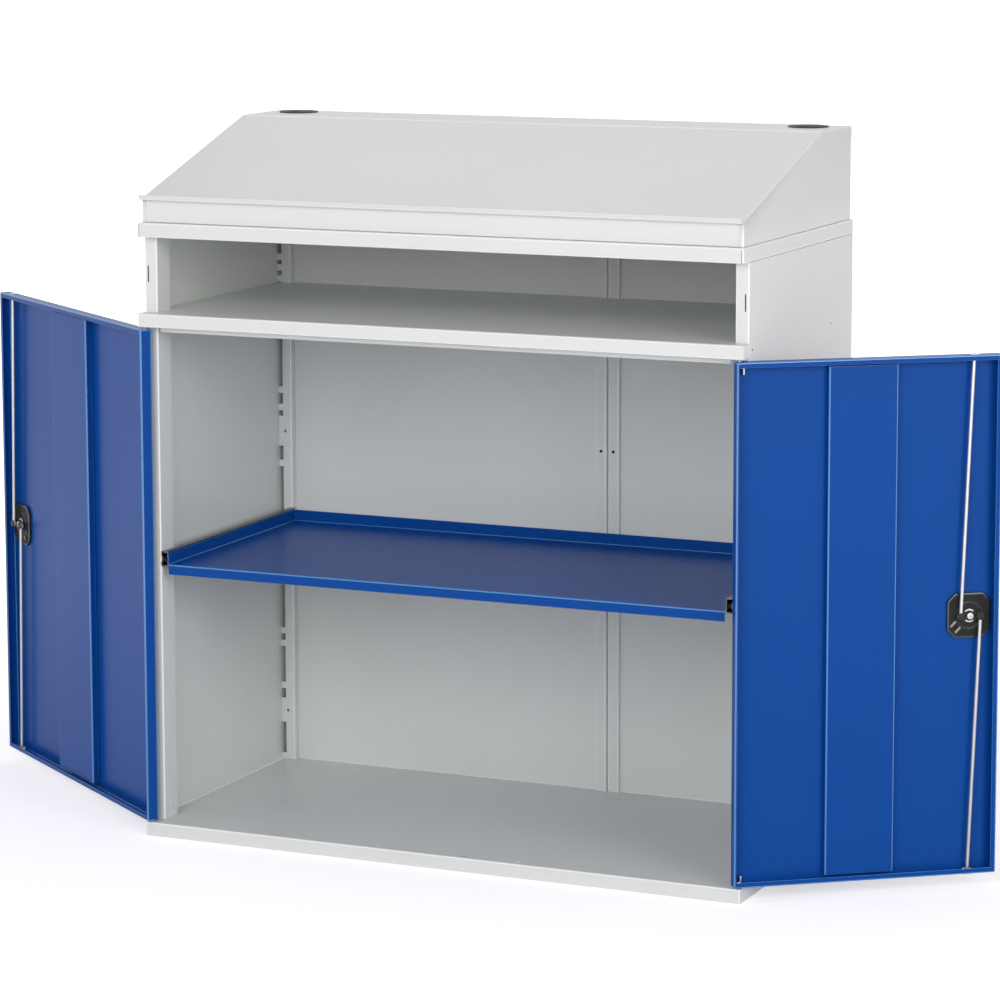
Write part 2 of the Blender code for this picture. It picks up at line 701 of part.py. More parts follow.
def build_door_panel(door, hinge):
    name, width = f"{door.name}_door", door.width
    panel = box(
        f"{name}_panel", door.at(0, 0, DOOR_BOTTOM), door.at(width, DOOR_THICKNESS, DOOR_TOP), BLUE, hinge
    )
    hollow = box(
        f"{name}_hollow",
        door.at(SHEET, SHEET, DOOR_BOTTOM + SHEET),
        door.at(width - SHEET, DOOR_THICKNESS - SHEET, DOOR_TOP - SHEET),
        parent=hinge,
    )
    mouth = box(
        f"{name}_mouth",
        door.at(HINGE_LIP, DOOR_THICKNESS - 2 * SHEET, DOOR_BOTTOM + DOOR_LIP),
        door.at(width - DOOR_LIP, DOOR_THICKNESS + SHEET, DOOR_TOP - DOOR_LIP),
        parent=hinge,
    )
    cut(panel, hollow, mouth)
    lock = door.at(door.lock_from_hinge, -SHEET, LOCK_HEIGHT)
    cut(panel, cylinder(f"{name}_lock_hole", CUP_NECK_RADIUS + FIT, lock, Y, 3 * SHEET, parent=hinge))
    rods = door.at(door.lock_from_hinge, ROD_DEPTH, 0)
    for end, height in (("top", DOOR_TOP), ("bottom", DOOR_BOTTOM)):
        low, high = height - 2 * SHEET, height + 2 * SHEET
        pin = cylinder(f"{name}_{end}_pin_hole", PIN_RADIUS + FIT, Z * low, Z, high - low, parent=hinge)
        cut(panel, pin, rod_slot(f"{name}_{end}_rod_slot", rods, low, high, hinge))

    start, face = door.stiffener
    foot, crown = SHEET + FIT, DOOR_THICKNESS - STIFFENER_RECESS
    outline = (
        (start + STIFFENER_FOOT, foot), (start, foot), (start, crown),
        (start + face, crown), (start + face, foot), (start + face - STIFFENER_FOOT, foot),
    )
    path = [door.at(along, depth, 0).xy for along, depth in outline]
    end = DOOR_LIP + STIFFENER_GAP
    low, high = DOOR_BOTTOM + end, DOOR_TOP - end
    folded_sheet(f"{name}_stiffener", path, Z, low, high, door.side, BLUE, hinge)


def build_hinge_pins(door, hinge):
    """Each pin is a wire that passes through the door's edge and is cranked inside it, towards its middle."""
    places = (
        ("top", DOOR_TOP - PIN_TOP_DROP, LIP_BOTTOM + SHEET, 1),
        ("bottom", DOOR_BOTTOM + PIN_BOTTOM_DROP, BASE_HEIGHT - SHEET, -1),
    )
    inward = -X * door.side
    steps = 5
    for end, run, sheet, up in places:
        out = Z * up
        turns = [math.pi / 2 * number / steps for number in range(steps + 1)]
        first = inward * PIN_BEND + Z * run + out * PIN_BEND
        second = inward * (PIN_CRANK - PIN_BEND) + Z * run - out * PIN_BEND
        points = [Z * sheet + out * PIN_REACH]
        points += [first - (inward * math.cos(turn) + out * math.sin(turn)) * PIN_BEND for turn in turns]
        points += [second + (inward * math.sin(turn) + out * math.cos(turn)) * PIN_BEND for turn in turns]
        points.append(inward * PIN_CRANK + Z * run - out * PIN_LEG)
        wire(f"{door.name}_hinge_pin_{end}", points, PIN_RADIUS, ZINC, hinge)


def build_rod_guides(door, hinge):
    centre = door.at(door.lock_from_hinge, ROD_DEPTH, 0)
    half = Vector((GUIDE_LENGTH / 2, GUIDE_DEPTH / 2, 0))
    for end, edge, up in (("top", DOOR_TOP, 1), ("bottom", DOOR_BOTTOM, -1)):
        seat = edge - up * (SHEET + FIT)
        inner = seat - up * GUIDE_HEIGHT
        name = f"{door.name}_rod_guide_{end}"
        guide = box(name, centre - half + Z * seat, centre + half + Z * inner, NYLON, hinge)
        low, high = min(seat, inner) - SHEET, max(seat, inner) + SHEET
        cut(guide, rod_slot(name + "_slot", centre, low, high, hinge))


# Locks: places are counted from the lock's axis and from the door's outer face


def build_lock_cup(door, hinge):
    """The cup that holds the lock: a bezel outside, a neck through the door and a chamfered back inside."""
    name = f"{door.name}_lock_cup"
    centre = door.at(door.lock_from_hinge, 0, LOCK_HEIGHT)
    half, nip = CUP_SIDE / 2, CUP_SIDE / 2 - CUP_CHAMFER
    corners = (
        (half, nip), (nip, half), (-nip, half), (-half, nip),
        (-half, -nip), (-nip, -half), (nip, -half), (half, -nip),
    )
    octagon = [(centre.x + across, centre.z + up) for across, up in corners]
    inside = SHEET + FIT
    cup = plate(name, octagon, Y, centre.y + inside, CUP_BACK - inside, BLACK, hinge)
    bezel = plate(name + "_bezel", octagon, Y, centre.y - FIT - CUP_BEZEL, CUP_BEZEL, parent=hinge)
    neck_start = centre - Y * (FIT + CUP_BEZEL / 2)
    neck = cylinder(name + "_neck", CUP_NECK_RADIUS, neck_start, Y, CUP_BEZEL / 2 + 2 * inside, parent=hinge)
    join(cup, neck, bezel)
    mouth = centre - Y * (2 * CUP_BEZEL)
    recess = cylinder(name + "_recess", RECESS_RADIUS, mouth, Y, 2 * CUP_BEZEL + RECESS_DEPTH, parent=hinge)
    through = 2 * CUP_BEZEL + 2 * CUP_BACK
    bore = cylinder(name + "_bore", SPINDLE_RADIUS + FIT, mouth, Y, through, parent=hinge)
    cut(cup, recess, bore)


def build_handle(door, lock):
    """The swivel handle: a round plate in the cup, a grip across it, and a spindle through the cup."""
    name = f"{door.name}_lock_handle"
    plate_back = RECESS_DEPTH - FIT
    plate_front = plate_back - HANDLE_PLATE
    handle = cylinder(name, HANDLE_RADIUS, Y * plate_front, Y, HANDLE_PLATE, BLACK, lock)
    grip = box(
        name + "_grip",
        (-GRIP_LENGTH / 2, -GRIP_PROUD, -GRIP_WIDTH / 2),
        (GRIP_LENGTH / 2, plate_front + HANDLE_PLATE / 2, GRIP_WIDTH / 2),
        parent=lock,
    )
    spindle_length = CUP_BACK - plate_front
    spindle = cylinder(name + "_spindle", SPINDLE_RADIUS, Y * plate_front, Y, spindle_length, parent=lock)
    half = DRIVE_SIDE / 2
    drive_end = CAM_BACK + CAM_THICKNESS
    drive = box(name + "_drive", (-half, plate_back, -half), (half, drive_end, half), parent=lock)
    join(handle, grip, spindle, drive)
    pocket = cylinder(
        name + "_pocket", CORE_RADIUS + FIT, Y * (-2 * GRIP_PROUD), Y, GRIP_PROUD + CORE_LENGTH, parent=lock
    )
    head = drive_end + FIT
    screw_end = head - SCREW_LENGTH
    thread_start, thread_length = Y * (screw_end - FIT), SCREW_LENGTH + 2 * FIT
    thread = cylinder(
        name + "_thread", SCREW_RADIUS + FIT, thread_start, Y, thread_length, parent=lock, sides=12
    )
    cut(handle, pocket, thread)

    core_back = CORE_LENGTH - GRIP_PROUD - FIT
    core = cylinder(f"{door.name}_key_core", CORE_RADIUS, Y * core_back, -Y, CORE_LENGTH, ZINC, lock)
    keyway = box(
        f"{door.name}_keyway",
        (-KEYWAY_WIDTH / 2, core_back - 2 * CORE_LENGTH, -KEYWAY_HEIGHT / 2),
        (KEYWAY_WIDTH / 2, core_back - CORE_LENGTH / 4, KEYWAY_HEIGHT / 2),
        parent=lock,
    )
    cut(core, keyway)

    washer_name = f"{door.name}_lock_washer"
    washer = cylinder(washer_name, WASHER_RADIUS, Y * (CUP_BACK + FIT), Y, WASHER_THICKNESS, ZINC, lock)
    through = 3 * WASHER_THICKNESS
    cut(washer, cylinder(washer_name + "_hole", SPINDLE_RADIUS + FIT, Y * CUP_BACK, Y, through, parent=lock))
    screw = cylinder(f"{door.name}_lock_screw", SCREW_HEAD_RADIUS, Y * head, Y, SCREW_HEAD, ZINC, lock)
    shank_name, shank_length = f"{door.name}_screw_shank", SCREW_LENGTH + SCREW_HEAD / 2
    shank = cylinder(shank_name, SCREW_RADIUS, Y * screw_end, Y, shank_length, parent=lock, sides=12)
    join(screw, shank)


def build_cam(door, lock):
    """The two-armed cam, with a headed lug pin on each arm that a rod's eye turns on."""
    name = f"{door.name}_lock_cam"
    cam = cylinder(name, CAM_HUB_RADIUS, Y * CAM_BACK, Y, CAM_THICKNESS, CAM_STEEL, lock)
    half = CAM_ARM_WIDTH / 2
    face = CAM_BACK + CAM_THICKNESS
    arms = box(name + "_arms", (-LUG_RADIUS, CAM_BACK, -half), (LUG_RADIUS, face, half), parent=lock)
    join(cam, arms)
    head = EYE_BACK + 2 * ROD_RADIUS + FIT
    for end, place in (("upper", LUG_RADIUS), ("lower", -LUG_RADIUS)):
        lug = X * place
        tip = cylinder(f"{name}_{end}_tip", half, lug + Y * CAM_BACK, Y, CAM_THICKNESS, parent=lock)
        pin_length = head - CAM_BACK - CAM_THICKNESS / 2 + LUG_HEAD / 2
        pin_start = lug + Y * (CAM_BACK + CAM_THICKNESS / 2)
        pin = cylinder(f"{name}_{end}_pin", LUG_PIN_RADIUS, pin_start, Y, pin_length, parent=lock)
        cap = cylinder(f"{name}_{end}_head", LUG_HEAD_RADIUS, lug + Y * head, Y, LUG_HEAD, parent=lock)
        join(cam, tip, pin, cap)
    hole = DRIVE_SIDE / 2 + FIT
    drive = box(
        name + "_drive_hole",
        (-hole, CAM_BACK - CAM_THICKNESS, -hole),
        (hole, CAM_BACK + 2 * CAM_THICKNESS, hole),
        parent=lock,
    )
    cut(cam, drive)


def build_rods(door, lock):
    """The two locking rods. Each leans from its lug to the guide on the lock's own upright line."""
    rods = (
        ("upper", 1, DOOR_TOP + ROD_TOP_REACH - LOCK_HEIGHT),
        ("lower", -1, LOCK_HEIGHT - DOOR_BOTTOM + ROD_BOTTOM_REACH),
    )
    for end, up, reach in rods:
        pivot = add_empty(
            f"{door.name}_{end}_rod_pivot", (up * LUG_RADIUS, ROD_DEPTH, 0), (0, -ROD_LEAN, 0), lock
        )
        name = f"{door.name}_{end}_rod"
        rod = cylinder(name, ROD_RADIUS, Vector(), Z * up, reach / math.cos(ROD_LEAN), ZINC, pivot, sides=12)
        eye = cylinder(name + "_eye", ROD_EYE_RADIUS, -Y * ROD_RADIUS, Y, 2 * ROD_RADIUS, parent=pivot)
        through = 4 * ROD_RADIUS
        hole = cylinder(name + "_hole", LUG_PIN_RADIUS + FIT, -Y * through / 2, Y, through, parent=pivot)
        join(rod, eye)
        cut(rod, hole)


def build_door(door):
    hinge = add_empty(f"{door.name}_door_hinge", door.hinge, (0, 0, door.side * OPEN_ANGLE))
    build_door_panel(door, hinge)
    build_hinge_pins(door, hinge)
    build_rod_guides(door, hinge)
    build_lock_cup(door, hinge)
    centre = door.at(door.lock_from_hinge, 0, LOCK_HEIGHT)
    lock = add_empty(f"{door.name}_lock_axis", centre, (0, 0, 0), hinge)
    build_handle(door, lock)
    build_cam(door, lock)
    build_rods(door, lock)


def main():
    build_base()
    for name, side in (("left", -1), ("right", 1)):
        build_side(name, side)
        build_rear_panel(name, side)
        build_upright(name, side)
    build_fixed_shelf()
    build_top_cover()
    build_desk()
    build_pull_out_shelf()
    for door in DOORS:
        build_door(door)


main()
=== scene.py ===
"""Looks of the workshop desk cabinet: its folded sheets, fittings, finishes and stage.

Laid out as an add-on and run as a script. Metres, +Z up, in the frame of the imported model. Each operator
makes one piece, or a group of like pieces. Pieces of a door are modelled on the closed door and then swung
open to rest.
"""

import json
import math

import bmesh
import bpy
from bpy.props import FloatProperty, FloatVectorProperty, PointerProperty
from mathutils import Matrix, Vector


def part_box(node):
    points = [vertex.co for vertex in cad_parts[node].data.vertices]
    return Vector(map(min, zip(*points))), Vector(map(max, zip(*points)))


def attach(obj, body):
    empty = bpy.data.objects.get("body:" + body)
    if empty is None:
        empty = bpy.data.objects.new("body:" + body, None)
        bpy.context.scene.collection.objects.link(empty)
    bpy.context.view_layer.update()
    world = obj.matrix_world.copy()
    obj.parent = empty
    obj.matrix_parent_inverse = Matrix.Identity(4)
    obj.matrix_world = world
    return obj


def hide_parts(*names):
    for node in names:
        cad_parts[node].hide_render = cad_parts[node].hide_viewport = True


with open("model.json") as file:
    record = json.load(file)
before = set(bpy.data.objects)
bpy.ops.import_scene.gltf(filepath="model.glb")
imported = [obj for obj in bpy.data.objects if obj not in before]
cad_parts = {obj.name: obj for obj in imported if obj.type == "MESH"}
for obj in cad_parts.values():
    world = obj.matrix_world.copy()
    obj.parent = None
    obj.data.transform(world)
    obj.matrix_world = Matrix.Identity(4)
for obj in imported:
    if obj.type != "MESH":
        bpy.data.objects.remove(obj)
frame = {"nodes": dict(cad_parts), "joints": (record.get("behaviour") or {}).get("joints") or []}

bl_info = {
    "name": "Workshop desk cabinet",
    "version": (1, 0, 0),
    "blender": (4, 5, 0),
    "location": "View3D > Sidebar > Cabinet",
    "description": "Folded sheets, fittings, finishes and stage of a workshop desk cabinet",
    "category": "Object",
}

X, Y, Z = Vector((1, 0, 0)), Vector((0, 1, 0)), Vector((0, 0, 1))
SIDES = (("left", -1), ("right", 1))
JOINTS = {joint["name"]: joint for joint in frame["joints"]}

NEAR = 0.00002  # points closer than this are one place
OVERLAP = 0.001  # fused shapes reach this far into each other
OVERCUT = 0.002  # cutters reach this far past a small piece
PARALLEL = 0.99  # least cosine between an edge and the axis that it runs along
FACING = 0.9  # least cosine between a face's normal and the axis that it looks along
LEANING = 0.5  # least cosine between a face's normal and the axis that it leans towards
FOLD_ANGLE = math.radians(60)  # sharper edges than this are folds
SMOOTH_ANGLE = math.radians(38)  # sharper edges than this are rounded
MERGE_ANGLE = math.radians(1)  # flatter edges than this lie inside a face
FINE_ROUNDING = 0.0002  # of the edges of the slides and cable outlets
SEED = 0.01  # side of the plane that shrinks to the first point of a turned profile
SLOT_ROUND = 0.98  # radius at the ends of a slot, as a share of half its width

# Facets of rounded shapes
EDGE_STEPS = 3
FOLD_STEPS = 4
CORNER_STEPS = 5
SLOT_STEPS = 6
BEND_STEPS = 8
WIRE_STEPS = 16
SMALL_STEPS = 20
ROD_STEPS = 24
ROUND_STEPS = 32
SPIN_STEPS = 48


def length(name, description, default):
    return FloatProperty(name=name, description=description, default=default, unit="LENGTH", precision=5)


def colour(name, description, default):
    return FloatVectorProperty(
        name=name, description=description, default=default, subtype="COLOR", size=3, min=0, max=1
    )


def factor(name, description, default):
    return FloatProperty(name=name, description=description, default=default, min=0, max=1, subtype="FACTOR")


def power(name, description, default):
    return FloatProperty(name=name, description=description, default=default, min=0, unit="POWER")


class CabinetSheet(bpy.types.PropertyGroup):
    """Sizes of the folded sheet metal."""

    sheet: length("Sheet", "Thickness of the sheet", 0.0012)
    fit: length("Fit", "Clearance between pieces that touch", 0.0003)
    fold: length("Fold", "Outer radius of the folds", 0.0024)
    rounding: length("Rounding", "Rounding of the cut edges", 0.0003)
    slit: length("Slit", "Width of the open corner slits", 0.0009)
    post_width: length("Post width", "Width of the front posts", 0.0237)
    post_return: length("Post return", "Depth of the posts' inner leg", 0.044)
    rear_flange: length("Rear flange", "Flange at the back of each side", 0.030)
    strip: length("Strip", "Width of the stepped strips at the rear seam", 0.0205)
    lip_height: length("Lip height", "Height of the fixed shelf's front lip", 0.024)
    stop_depth: length("Stop depth", "Place of the hanging door stop behind the lip's front", 0.024)
    front_rim_lip: length("Front rim lip", "Lip under the front of the top cover", 0.032)
    rim_lip: length("Rim lip", "Lip under the other edges of the top cover", 0.014)
    paper_stop: length("Paper stop", "Height of the upturned edge of the slope", 0.009)
    ledge_depth: length("Ledge depth", "Depth of the level ledge behind the slope", 0.150)
    door_lip: length("Door lip", "Lip round the inside of each door", 0.009)
    hinge_lip: length("Hinge lip", "Lip along the hinge edge of each door", 0.004)
    stiffener_foot: length("Stiffener foot", "Width of the stiffener's feet", 0.012)


class CabinetFittings(bpy.types.PropertyGroup):
    """Sizes of the locks, rods, pins, slides and cable outlets."""

    pin_radius: length("Pin radius", "Radius of the hinge pins' wire", 0.0022)
    pin_bend: length("Pin bend", "Radius of the bends in the hinge pins", 0.003)
    rod_radius: length("Rod radius", "Radius of the locking rods", 0.003)
    rod_slot: length("Rod slot", "Length of the slots that the rods pass through", 0.013)
    cup_chamfer: length("Cup chamfer", "Cut-off corners of the lock cups", 0.013)
    cup_recess: length("Cup recess", "Radius of the dish in the lock cups", 0.030)
    cam_arm: length("Cam arm", "Width of the cams' arms", 0.0136)
    outlet_neck: length("Outlet neck", "Radius of the cable outlets below the ledge", 0.030)
    outlet_bore: length("Outlet bore", "Radius of the cable outlets' caps", 0.027)
    outlet_seat: length("Outlet seat", "Radius of the way through the cable outlets", 0.024)


class CabinetFinish(bpy.types.PropertyGroup):
    """Colours and gloss of the finishes."""

    grey: colour("Grey paint", "Powder coat of the body", (0.690, 0.722, 0.682))
    # Lighter than the grey paint: a painted highlight along the grey folds and rounded edges.
    grey_fold: colour("Grey folds", "Powder coat on the grey folds, lying thin", (0.820, 0.842, 0.815))
    blue: colour("Blue paint", "Powder coat of the doors and the pull-out shelf", (0.0030, 0.062, 0.290))
    # Lighter than the blue paint: a painted highlight along the blue folds and rounded edges.
    blue_fold: colour("Blue folds", "Powder coat on the blue folds, lying thin", (0.030, 0.19, 0.49))
    black: colour("Black plastic", "Lock cups, handles and cable outlets", (0.012, 0.013, 0.012))
    zinc: colour("Zinc plate", "Rods, pins, washers and screws", (0.50, 0.50, 0.505))
    steel: colour("Slide steel", "Rails and runners of the pull-out shelf", (0.17, 0.175, 0.18))
    cam: colour("Cam steel", "Dark cams of the locks", (0.030, 0.032, 0.029))
    nylon: colour("White nylon", "Guides of the locking rods", (0.84, 0.84, 0.82))
    gloss: factor("Paint gloss", "How smooth the powder coat is", 0.70)
    fold_gloss: factor("Fold gloss", "How smooth the coat is on the folds and edges", 0.78)


class CabinetStage(bpy.types.PropertyGroup):
    """Floor, light and camera."""

    floor: colour("Floor", "Colour of the floor", (0.86, 0.86, 0.86))
    light: colour("Light", "Colour of the lamps and the sky", (0.988, 0.953, 1.0))
    sky: FloatProperty(name="Sky", description="Strength of the light from all round", default=0.45, min=0)
    key: power("Key", "Power of the main lamp", 172)
    fill: power("Fill", "Power of the lamp on the right", 178)
    left: power("Left", "Power of the lamp on the left", 42)
    back: power("Back", "Power of the lamp behind", 30)
    lens: FloatProperty(name="Lens", description="Focal length", default=138.2, min=1, unit="CAMERA")


def sheet_sizes():
    return bpy.context.scene.cabinet_sheet


def fitting_sizes():
    return bpy.context.scene.cabinet_fittings


# Modelling helpers


def alone(piece):
    """Makes one piece the whole selection."""
    bpy.ops.object.select_all(action="DESELECT")
    piece.select_set(True)
    bpy.context.view_layer.objects.active = piece


def start(name, add, scale=(1, 1, 1), **settings):
    """A new piece from a primitive, with its place, turn and size in its mesh."""
    bpy.ops.object.select_all(action="DESELECT")
    add(**settings)
    piece = bpy.context.object
    piece.name = piece.data.name = name
    piece.scale = scale
    bpy.ops.object.transform_apply(location=True, rotation=True, scale=True)
    return piece


def block(name, corner, opposite):
    low, high = Vector(corner), Vector(opposite)
    span = [abs(b - a) for a, b in zip(low, high)]
    return start(name, bpy.ops.mesh.primitive_cube_add, span, size=1, location=(low + high) / 2)


def bar(name, radius, foot, top, sides=ROUND_STEPS):
    """A round bar between two points."""
    foot, top = Vector(foot), Vector(top)
    run = top - foot
    turn = run.to_track_quat("Z", "Y").to_euler()
    return start(
        name, bpy.ops.mesh.primitive_cylinder_add,
        vertices=sides, radius=radius, depth=run.length, location=(foot + top) / 2, rotation=turn,
    )


class Bench:
    """Edit mode on one piece, for a with block."""

    def __init__(self, piece):
        self.piece = piece

    def __enter__(self):
        alone(self.piece)
        bpy.ops.object.mode_set(mode="EDIT")
        return self

    def __exit__(self, *problem):
        bpy.ops.object.mode_set(mode="OBJECT")

    def pick(self, kind, test=lambda part: True):
        """Selects the vertices, edges or faces that pass a test, and nothing else."""
        bpy.ops.mesh.select_mode(type=kind)
        bpy.ops.mesh.select_all(action="DESELECT")
        mesh = bmesh.from_edit_mesh(self.piece.data)
        for part in {"VERT": mesh.verts, "EDGE": mesh.edges, "FACE": mesh.faces}[kind]:
            if test(part):
                part.select_set(True)
        bmesh.update_edit_mesh(self.piece.data)

    def extrude(self, step):
        bpy.ops.mesh.extrude_region_move(TRANSFORM_OT_translate={"value": step})

    def bevel(self, offset, segments=FOLD_STEPS):
        bpy.ops.mesh.bevel(offset=offset, segments=segments, affect="EDGES")

    def fold(self, radius):
        """Rounds the selected edges as folds, whose faces get the finish's second material; on painted
        sheets that is a lighter paint, a painted highlight along the fold.
        """
        edge_slots(self.piece)
        bpy.ops.mesh.bevel(offset=radius, segments=FOLD_STEPS, affect="EDGES", material=1)

    def spin(self, angle, centre, axis, steps):
        """Turns the selection about an axis by the right-hand rule and leaves a surface behind it."""
        bpy.ops.mesh.spin(steps=steps, angle=-angle, center=centre, axis=axis)

    def merge(self):
        """Merges doubled points."""
        self.pick("VERT")
        bpy.ops.mesh.remove_doubles(threshold=NEAR)

    def turn_out(self):
        """Turns all the faces outwards."""
        self.pick("FACE")
        bpy.ops.mesh.normals_make_consistent(inside=False)

    def mark_as_fold(self, test):
        """Gives the faces that pass a test the finish's second material, which on painted sheets is a
        lighter paint: a painted highlight.
        """
        edge_slots(self.piece)
        self.pick("FACE", test)
        self.piece.active_material_index = 1
        bpy.ops.object.material_slot_assign()


def edge_slots(piece):
    """Two material slots: one for the faces of a piece, and one for its folds and edges."""
    while len(piece.data.materials) < 2:
        piece.data.materials.append(None)


def middle(edge):
    return (edge.verts[0].co + edge.verts[1].co) / 2


def along(edge, axis):
    return abs((edge.verts[1].co - edge.verts[0].co).normalized().dot(axis)) > PARALLEL


def is_fold(edge):
    return len(edge.link_faces) == 2 and edge.calc_face_angle() > FOLD_ANGLE


def apply_step(piece, kind, **settings):
    """Adds a modifier to a piece and applies it."""
    alone(piece)
    step = piece.modifiers.new(kind.lower(), kind)
    for setting, value in settings.items():
        setattr(step, setting, value)
    bpy.ops.object.modifier_apply(modifier=step.name)


def combine(piece, tools, operation):
    for tool in tools:
        apply_step(piece, "BOOLEAN", object=tool, operation=operation, solver="EXACT")
        bpy.data.objects.remove(tool)


def cut(piece, *tools):
    combine(piece, tools, "DIFFERENCE")


def fuse(piece, *tools):
    combine(piece, tools, "UNION")


def thicken(piece):
    apply_step(piece, "SOLIDIFY", thickness=sheet_sizes().sheet, offset=-1, use_even_offset=True)


def soften(piece, width=None):
    """Rounds the sharp edges a little and shades the flat faces flat. The rounded edges take the piece's
    last material, which on painted sheets is the lighter fold paint: a painted highlight.
    """
    width = width or sheet_sizes().rounding
    apply_step(
        piece, "BEVEL", width=width, segments=2, limit_method="ANGLE", angle_limit=SMOOTH_ANGLE,
        use_clamp_overlap=False, material=len(piece.data.materials) - 1,
    )
    alone(piece)
    bpy.ops.object.shade_smooth_by_angle(angle=SMOOTH_ANGLE)
    apply_step(piece, "WEIGHTED_NORMAL", keep_sharp=True)


def copy_of(piece, name, move=(0, 0, 0)):
    """A copy with its own mesh, moved to its place."""
    alone(piece)
    bpy.ops.object.duplicate(linked=False)
    made = bpy.context.object
    made.name = made.data.name = name
    made.location = move
    bpy.ops.object.transform_apply(location=True, rotation=True, scale=True)
    return made


def join(pieces):
    """Joins pieces into the first of them."""
    alone(pieces[0])
    for other in pieces[1:]:
        other.select_set(True)
    bpy.ops.object.join()
    return pieces[0]


def merged_node(node, name):
    """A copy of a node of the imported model, with its triangles merged into whole faces."""
    alone(frame["nodes"][node])
    bpy.ops.object.duplicate(linked=False)
    piece = bpy.context.object
    piece.parent = None
    for key in list(piece.keys()):
        del piece[key]
    piece.name = piece.data.name = name
    with Bench(piece) as bench:
        bench.merge()
        bpy.ops.mesh.dissolve_limited(angle_limit=MERGE_ANGLE)
    return piece


def folded_sheet(name, path, sweep, into, fold=None):
    """A sheet folded along a path of outer corners and swept sideways. Into points from the outer face of
    the path's first leg to the metal."""
    path, sweep = [Vector(point) for point in path], Vector(sweep)
    leg = path[1] - path[0]
    turn = Matrix((leg.normalized(), sweep.normalized(), leg.cross(sweep).normalized())).transposed()
    centre = (path[0] + path[1] + sweep) / 2
    piece = start(
        name, bpy.ops.mesh.primitive_plane_add, (leg.length, sweep.length, 1),
        size=1, location=centre, rotation=turn.to_euler(),
    )
    with Bench(piece) as bench:
        end = path[1] + sweep / 2
        bench.pick("EDGE", lambda edge: (middle(edge) - end).length < NEAR)
        for here, there in zip(path[1:], path[2:]):
            bench.extrude(there - here)
        bench.pick("EDGE", lambda edge: len(edge.link_faces) == 2)
        bench.fold(fold or sheet_sizes().fold)
        bench.turn_out()
        faces = bmesh.from_edit_mesh(piece.data).faces
        first = min(faces, key=lambda face: (face.calc_center_median() - centre).length)
        if first.normal.dot(into) > 0:
            bpy.ops.mesh.flip_normals()
    thicken(piece)
    return piece


def swept_sheet(name, corners, low, high, axis, into, fold=None):
    """A folded sheet as long as a box is along an axis, from its outer corners across that axis."""
    index = axis[:].index(1)
    path = [(*corner[:index], low[index], *corner[index:]) for corner in corners]
    return folded_sheet(name, path, axis * (high[index] - low[index]), into, fold)


def pan(name, low, high, mouth, lip, shape_mouth=None):
    """A box of folded sheet, open towards the mouth, with a lip of a given width round the opening."""
    piece = block(name, low, high)
    with Bench(piece) as bench:
        bench.pick("FACE", lambda face: face.normal.dot(mouth) > FACING)
        if lip:
            bpy.ops.mesh.inset(thickness=lip)
        bpy.ops.mesh.delete(type="FACE")
        if shape_mouth:
            shape_mouth(bench)
        bench.pick("EDGE", is_fold)
        bench.fold(sheet_sizes().fold)
    thicken(piece)
    return piece


def oblong(name, centre, half, axis):
    """A block whose ends are round across an axis. Half holds its half sizes."""
    centre, half = Vector(centre), Vector(half)
    piece = block(name, centre - half, centre + half)
    radius = min(size for size, part in zip(half, axis) if not part) * SLOT_ROUND
    with Bench(piece) as bench:
        bench.pick("EDGE", lambda edge: along(edge, axis))
        bench.bevel(radius, SLOT_STEPS)
    return piece


def turned(name, profile, centre, axis=Z, steps=SPIN_STEPS):
    """A closed profile of (radius, height) points, spun about an axis through the centre."""
    centre = Vector(centre)
    out = axis.orthogonal().normalized()
    points = [centre + out * radius + axis * height for radius, height in profile]
    piece = start(name, bpy.ops.mesh.primitive_plane_add, size=SEED, location=points[0])
    with Bench(piece) as bench:
        bench.pick("VERT")
        bpy.ops.mesh.merge(type="CENTER")
        for here, there in zip(points, points[1:] + points[:1]):
            bench.extrude(there - here)
        bench.merge()
        bench.pick("EDGE")
        bench.spin(2 * math.pi, centre, axis, steps)
        bench.merge()
        bench.turn_out()
    return piece


def dress(piece, body, finish, *nodes):
    """Gives a piece its finish, the body that it moves with, and the nodes that it stands for. A folded
    sheet has a second material for its folds and edges; on the paints it is a lighter colour, a painted
    highlight."""
    slots = piece.data.materials
    if len(slots) < 2:
        slots.append(finish_of(finish))
    else:
        slots[0], slots[1] = finish_of(finish), finish_of(f"{finish}_fold")
    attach(piece, body)
    if nodes:
        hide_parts(*nodes)


# Doors, as places that the body needs too


class Leaf:
    """One door: its hinge, and the turn that takes it from closed to its rest place."""

    def __init__(self, name, side):
        swing = JOINTS[f"{name}_door_swing"]
        self.name = name
        self.side = side
        self.hinge = Vector(swing["pos_m"])
        turn = Matrix.Rotation(math.radians(-swing["range_deg"][0]), 4, Vector(swing["axis"]))
        self.opening = Matrix.Translation(self.hinge) @ turn @ Matrix.Translation(-self.hinge)
        self.closing = self.opening.inverted()
        self.lock = self.closed_pivot("lock_turn")

    def closed_pivot(self, joint):
        """Place of one of the door's joints when the door is closed."""
        return self.closing @ Vector(JOINTS[f"{self.name}_{joint}"]["pos_m"])

    def closed_box(self, node):
        """Lowest and highest corner of one of the door's nodes when the door is closed."""
        points = [self.closing @ vertex.co for vertex in frame["nodes"][f"{self.name}_{node}"].data.vertices]
        return [Vector(pick(point[axis] for point in points) for axis in range(3)) for pick in (min, max)]

    def hang(self, piece, body, finish, *nodes):
        """Swings a finished piece from the closed door to its rest place and dresses it."""
        alone(piece)
        piece.matrix_world = self.opening
        bpy.ops.object.transform_apply(location=True, rotation=True, scale=True)
        dress(piece, f"{self.name}_{body}", finish, *(f"{self.name}_{node}" for node in nodes))


LEAVES = [Leaf(name, side) for name, side in SIDES]


ROD_ROOM = 1.15  # width of the rods' slots, as a share of the rods' own


